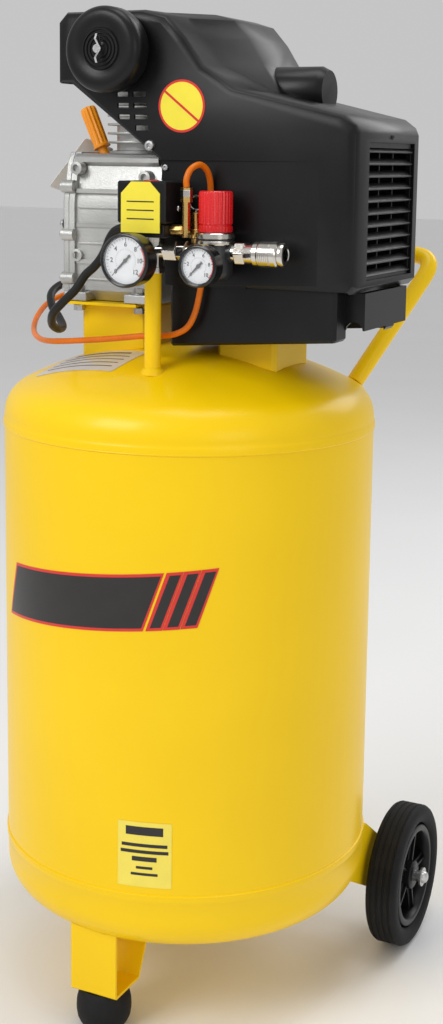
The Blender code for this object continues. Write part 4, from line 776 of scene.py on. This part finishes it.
def make_gauge(node, needle, numbers, red_from):
    """Case, dial with ticks, numbers and a red stretch, pointer and lens."""
    low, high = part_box(node)
    centre = middle(node)
    radius = (high.x - low.x) / 2
    deep = high.y - low.y
    lip = 0.0028
    outline = [(0, 0), (0.0062, 0), (0.0062, 0.003), (radius - 0.0024, 0.003), (radius - 0.0006, 0.0042),
               (radius - 0.0006, deep - 0.0056), (radius, deep - 0.005), (radius, deep - 0.0014),
               (radius - 0.0008, deep - 0.0003), (radius - 0.0016, deep), (radius - lip, deep - 0.0006),
               (radius - lip - 0.0004, deep - 0.004), (0, deep - 0.0042)]
    back = Vector((centre.x, high.y, centre.z))
    piece(f"{node}_case", aimed(turned(outline, 72), back, (0, -1, 0)), GLOSS_BLACK, replaces=(node,),
          angle=30)
    face = radius - lip - 0.0006
    front = low.y + 0.0042

    def on_dial(u, v, lift):
        return Vector((centre.x + u, front - 0.0001 - lift, centre.z + v))

    film(f"{node}_dial", circle(face), on_dial, DIAL, 0.0001)

    def mark(angle, inner, outer, half):
        """A tick's corners; angle is clockwise from straight up."""
        ahead = (math.sin(math.radians(angle)), math.cos(math.radians(angle)))
        beside = (ahead[1], -ahead[0])
        return [(ahead[0] * r + beside[0] * s, ahead[1] * r + beside[1] * s)
                for r, s in ((inner, -half), (outer, -half), (outer, half), (inner, half))]

    ticks = bmesh.new()
    count = 5 * (len(numbers) - 1)
    marks = []
    for tick in range(count + 1):
        long = tick % 5 == 0
        marks.append(mark(SWEEP * (tick / count - 0.5), face * (0.8 if long else 0.86), face * 0.95,
                          0.00028 if long else 0.00014))
    for tick in range(25):
        marks.append(mark(-128 + 256 * tick / 24, face * 0.46, face * 0.51, 0.00014))
    for corners in marks:
        ticks.faces.new([ticks.verts.new(on_dial(u, v, OVERPRINT)) for u, v in corners])
    lines = piece(f"{node}_ticks", ticks, INK)
    lines.modifiers.new("thick", "SOLIDIFY").thickness = 0.00006
    arc = []
    for step in range(25):
        angle = math.radians(red_from + (SWEEP / 2 - red_from) * step / 24)
        arc.append((math.sin(angle), math.cos(angle)))
    band = [(x * face * 0.965, y * face * 0.965) for x, y in arc]
    band += [(x * face * 0.88, y * face * 0.88) for x, y in reversed(arc)]
    film(f"{node}_red_band", band, lambda u, v, rise: on_dial(u, v, rise + 0.00015), STICKER_RED, 0.00005)
    for number, text in enumerate(numbers):
        angle = math.radians(SWEEP * (number / (len(numbers) - 1) - 0.5))
        curve = bpy.data.curves.new(f"{node}_number_{number}", "FONT")
        curve.body = text
        curve.size = radius * 0.24
        curve.offset = 0.0001
        curve.align_x = "CENTER"
        curve.align_y = "CENTER"
        curve.extrude = 0.00004
        digit = bpy.data.objects.new(f"{node}_number_{number}", curve)
        link(digit)
        curve.materials.append(INK)
        digit.location = on_dial(math.sin(angle) * face * 0.68, math.cos(angle) * face * 0.68, 0.0003)
        digit.rotation_euler = (math.pi / 2, 0, 0)
        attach(digit, "frame")
    lens = turned([(0, 0.0006), (face * 0.6, 0.0004), (face, 0), (face, -0.0004), (0, -0.0002)], 64)
    piece(f"{node}_lens", aimed(lens, Vector((centre.x, low.y + 0.001, centre.z)), (0, -1, 0)), LENS)
    polished(needle, INK)


def make_controls():
    polished("outlet_post", YELLOW, 0.0004)
    foot = at(POST_X, POST_Y, head_surface(POST_X, POST_Y) - 0.001)
    collar = turned([(0.0076, -0.002), (0.0112, -0.002), (0.0104, 0.0022), (0.0079, 0.0046)], 40)
    piece("outlet_post_weld", aimed(collar, foot), YELLOW)
    polished("manifold", NICKEL, 0.0006, 30)
    for node, look, bevel in (("switch_base", BLACK, 0.0008), ("switch_cover", BLACK, 0.001),
                              ("switch_knob", RED, 0.0006), ("lead_gland", LEAD, 0.0005)):
        polished(node, look, bevel)
    cover_low, cover_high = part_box("switch_cover")
    cut, bottom, top = 0.0105, 0.7735, cover_high.z - 0.0006
    left, right = cover_low.x + 0.005, cover_high.x - 0.005
    outline = [(left, bottom), (right, bottom), (right, top - cut), (right - cut, top), (left + cut, top),
               (left, top - cut)]
    face = cover_low.y

    def on_cover(u, v, lift):
        return Vector((u, face - 0.0002 - lift, v))

    plate = 0.0009
    film("switch_plate", outline, on_cover, LABEL_YELLOW, plate)
    for number in range(3):
        z = 0.801 - number * 0.0078
        bar = [(left + 0.006, z), (right - 0.006, z), (right - 0.006, z + 0.0011), (left + 0.006, z + 0.0011)]
        film(f"switch_plate_rule_{number}", bar, lambda u, v, lift: on_cover(u, v, lift + plate + 0.0001),
             INK, 0.00006)
    screw("switch_cover_screw", Vector((cover_high.x - 0.0004, middle("switch_cover").y + 0.006, 0.795)),
          (1, 0, 0), 0.0028)
    for name, z in (("upper", MANIFOLD_Z + 0.0075), ("lower", MANIFOLD_Z - 0.0215)):
        nut = slab(hexagon(0.019), 0.0062)
        piece(f"manifold_nut_{name}", aimed(nut, at(POST_X, POST_Y, z)), NICKEL, bevel=0.0009)
    union = aimed(slab(hexagon(0.0165, 0), 0.009), at(POST_X + 0.027, POST_Y, MANIFOLD_Z), (1, 0, 0))
    piece("manifold_union", union, NICKEL, bevel=0.0008)


def make_regulator():
    x, y = REGULATOR_X, POST_Y
    outline = [(0, 0.733), (0.011, 0.733), (0.0135, 0.7345), (0.0158, 0.7382), (0.016, 0.7395),
               (0.016, 0.76), (0.015, 0.7622), (0.015, 0.764), (0.0165, 0.7655), (0.0172, 0.7672),
               (0.0172, 0.7712), (0.0165, 0.7722), (0.0165, 0.7745), (0.0075, 0.7745), (0.0075, 0.799),
               (0, 0.799)]
    barrel = aimed(turned(outline, 64), at(x, y, 0))
    low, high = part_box("regulator_body")
    arms = []
    for radius, length, sides, place, axis in ((0.0085, x - low.x, 40, at(x, y, MANIFOLD_Z), (-1, 0, 0)),
                                               (0.0085, high.x - x, 40, at(x, y, MANIFOLD_Z), (1, 0, 0)),
                                               (0.006, 0.02, 32, at(x + 0.0015, y, 0.7465), (0, -1, 0))):
        arm = turned([(0, 0), (radius, 0), (radius, length), (0, length)], sides)
        arms.append(aimed(arm, place, axis))
    piece("regulator_barrel", joined(barrel, *arms), DARK, replaces=("regulator_body",), bevel=0.0004,
          angle=30)
    ring = [(0.015, 0.764), (0.0172, 0.764), (0.0178, 0.7648), (0.0178, 0.7672), (0.017, 0.768),
            (0.017, 0.7692), (0.0178, 0.77), (0.0178, 0.7738), (0.017, 0.7746), (0.015, 0.7746)]
    piece("regulator_ring", aimed(turned(ring, 64), at(x, y, 0)), NICKEL, angle=28)
    profile = [(0.014, 0.812, 0.2), (0.015, 0.8112, 0.6), (0.0155, 0.8095, 1.0), (0.0155, 0.7835, 1.0),
               (0.0152, 0.7826, 0.0), (0.0146, 0.7822, 0.0), (0.0146, 0.7812, 0.0), (0.0152, 0.7808, 0.0),
               (0.0155, 0.7802, 0.6), (0.0155, 0.7765, 0.6), (0.015, 0.7752, 0.0), (0.0086, 0.7752, 0.0),
               (0.0086, 0.8035, 0.0)]
    grip = ribbed(profile, 28, 0.0007, 168)
    piece("regulator_knob_ribbed", aimed(grip, at(x, y, 0)), RED, "regulator_knob", ("regulator_knob",),
          angle=34)


def make_coupler():
    centre = middle("coupler_body")
    place = Vector((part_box("coupler_body")[0].x, centre.y, centre.z))
    outline = [(0.004, 0), (0.008, 0), (0.008, 0.003), (0.0088, 0.0032), (0.0092, 0.0136), (0.0095, 0.0145),
               (0.0095, 0.046), (0.0106, 0.0463), (0.0108, 0.047), (0.0108, 0.0498), (0.0102, 0.051),
               (0.0092, 0.0515), (0.0066, 0.0515), (0.0058, 0.0508), (0.0058, 0.018), (0.004, 0.016)]
    piece("coupler_body_turned", aimed(turned(outline, 56), place, (1, 0, 0)), NICKEL,
          replaces=("coupler_body",))
    flats = slab(hexagon(0.019), 0.0098)
    piece("coupler_hexagon", aimed(flats, place + Vector((0.0032, 0, 0)), (1, 0, 0)), NICKEL,
          bevel=0.0009)
    sleeve = [(0.0096, 0.0215), (0.0106, 0.0215), (0.0112, 0.022), (0.0112, 0.0262), (0.0116, 0.0268)]
    for groove in range(6):
        start = 0.028 + groove * 0.0018
        sleeve += [(0.0118, start), (0.0118, start + 0.0009), (0.0114, start + 0.0011),
                   (0.0114, start + 0.0016)]
    sleeve += [(0.0118, 0.0392), (0.0118, 0.044), (0.0112, 0.045), (0.0106, 0.0455), (0.0096, 0.0455)]
    piece("coupler_sleeve_knurled", aimed(turned(sleeve, 72), place, (1, 0, 0)), NICKEL, "coupler_sleeve",
          ("coupler_sleeve",), angle=28)
    nipple = [(0, 0), (0.0066, 0), (0.007, 0.0008), (0.007, 0.0062), (0, 0.0062)]
    piece("coupler_nipple", aimed(turned(nipple, 40), place - Vector((0.006, 0, 0)), (1, 0, 0)), BRASS)


def make_fittings():
    for node, look in (("safety_valve", BRASS), ("unloader_fitting", BRASS), ("check_valve", BRASS),
                       ("delivery_pipe", COPPER), ("drain_valve", BRASS), ("drain_screw", BRASS)):
        polished(node, look, 0.0004, 40)
    polished("safety_ring", STEEL, 0.0, 60)
    top = at(0.0545, -0.1165, 0.806)
    nut = slab(hexagon(0.0104), 0.0066)
    piece("unloader_nut", aimed(nut, top), NICKEL, bevel=0.0006)
    for name, z, across in (("pipe_nut_low", 0.693, 0.016), ("check_valve_nut", 0.668, 0.024)):
        nut = slab(hexagon(across), 0.01)
        piece(name, aimed(nut, at(-0.085, 0.075, z)), BRASS, bevel=0.001)
    tilt = math.radians(24)
    seat, lean = at(-0.093, -0.006, 0.838), (-math.sin(tilt), 0, math.cos(tilt))
    profile = [(0.005, -0.01, 0.0), (0.005, 0.013, 0.0), (0.0088, 0.0135, 0.0), (0.0088, 0.0155, 0.0),
               (0.0078, 0.0165, 0.0), (0.008, 0.0185, 1.0), (0.0084, 0.052, 1.0), (0.0078, 0.0552, 0.4),
               (0.0066, 0.0562, 0.0)]
    grip = ribbed(profile, 12, 0.0011, 144)
    piece("oil_plug_grip", aimed(grip, seat, lean), PLUG_ORANGE, "oil_plug", ("oil_plug",), angle=40)


def make_tag():
    """A blank card slipped over the breather plug, which leans out over the end cover."""
    top = at(-0.1195, -0.004, 0.86)
    down = Vector((-0.045, 0, -0.051)).normalized()
    across = Vector((0.3, 0.92, -0.265)).normalized()
    card = slab(rounded(0.04, 0.066, 0.003), 0.0005)
    turn = Matrix((across, -down, across.cross(-down))).transposed().to_4x4()
    middle_point = top + across * 0.02 + down * 0.033
    bmesh.ops.transform(card, matrix=Matrix.Translation(middle_point) @ turn, verts=card.verts)
    piece("hang_card", card, CARD)


# ---- stage --------------------------------------------------------------------------------------
WORLD_LIGHT = 0.56
LAMPS = (("key", (-0.9, -2.3, 2.3), 1.3, 36), ("fill", (2.4, -1.9, 1.3), 1.2, 7),
         ("rim", (0.9, 2.2, 2.2), 1.6, 20), ("top", (0.2, -0.1, 2.9), 1.1, 14))    # place, size and watts


def make_stage():
    bm = bmesh.new()
    bmesh.ops.create_grid(bm, x_segments=2, y_segments=2, size=20)
    mesh = bpy.data.meshes.new("floor")
    bm.to_mesh(mesh)
    bm.free()
    floor = bpy.data.objects.new("floor", mesh)
    floor.location = (0, 0, -0.0005)
    link(floor)
    mesh.materials.append(FLOOR)
    world = bpy.data.worlds.new("studio")
    world.use_nodes = True
    world.node_tree.nodes["Background"].inputs["Color"].default_value = (1.0, 1.0, 1.0, 1)
    world.node_tree.nodes["Background"].inputs["Strength"].default_value = WORLD_LIGHT
    bpy.context.scene.world = world
    for name, place, size, power in LAMPS:
        data = bpy.data.lights.new(name, "AREA")
        data.size = size
        data.energy = power
        lamp = bpy.data.objects.new(name, data)
        lamp.location = place
        lamp.rotation_euler = (Vector((0, 0, 0.5)) - Vector(place)).to_track_quat("-Z", "Y").to_euler()
        link(lamp)
    bpy.context.scene.view_settings.view_transform = "Standard"


add_camera()
add_cord("switch_lead_round", LEAD_ROUTE, LEAD_DIAMETER, LEAD, "switch_lead")
add_cord("unloader_line_round", LINE_ROUTE, LINE_DIAMETER, ORANGE, "unloader_line")
make_tank()
make_stripe()
make_tank_label()
make_rating_plate()
make_wheels()
make_foot()
make_handle()
make_pump()
make_filter()
make_shroud()
make_grille()
make_motor()
make_gauge("tank_gauge", "tank_needle", ["0", "2", "4", "6", "8", "10", "12"], 55)
make_gauge("line_gauge", "line_needle", ["0", "2", "4", "6", "8", "10"], 55)
make_controls()
make_regulator()
make_coupler()
make_fittings()
make_tag()
make_stage()

bpy.context.view_layer.update()
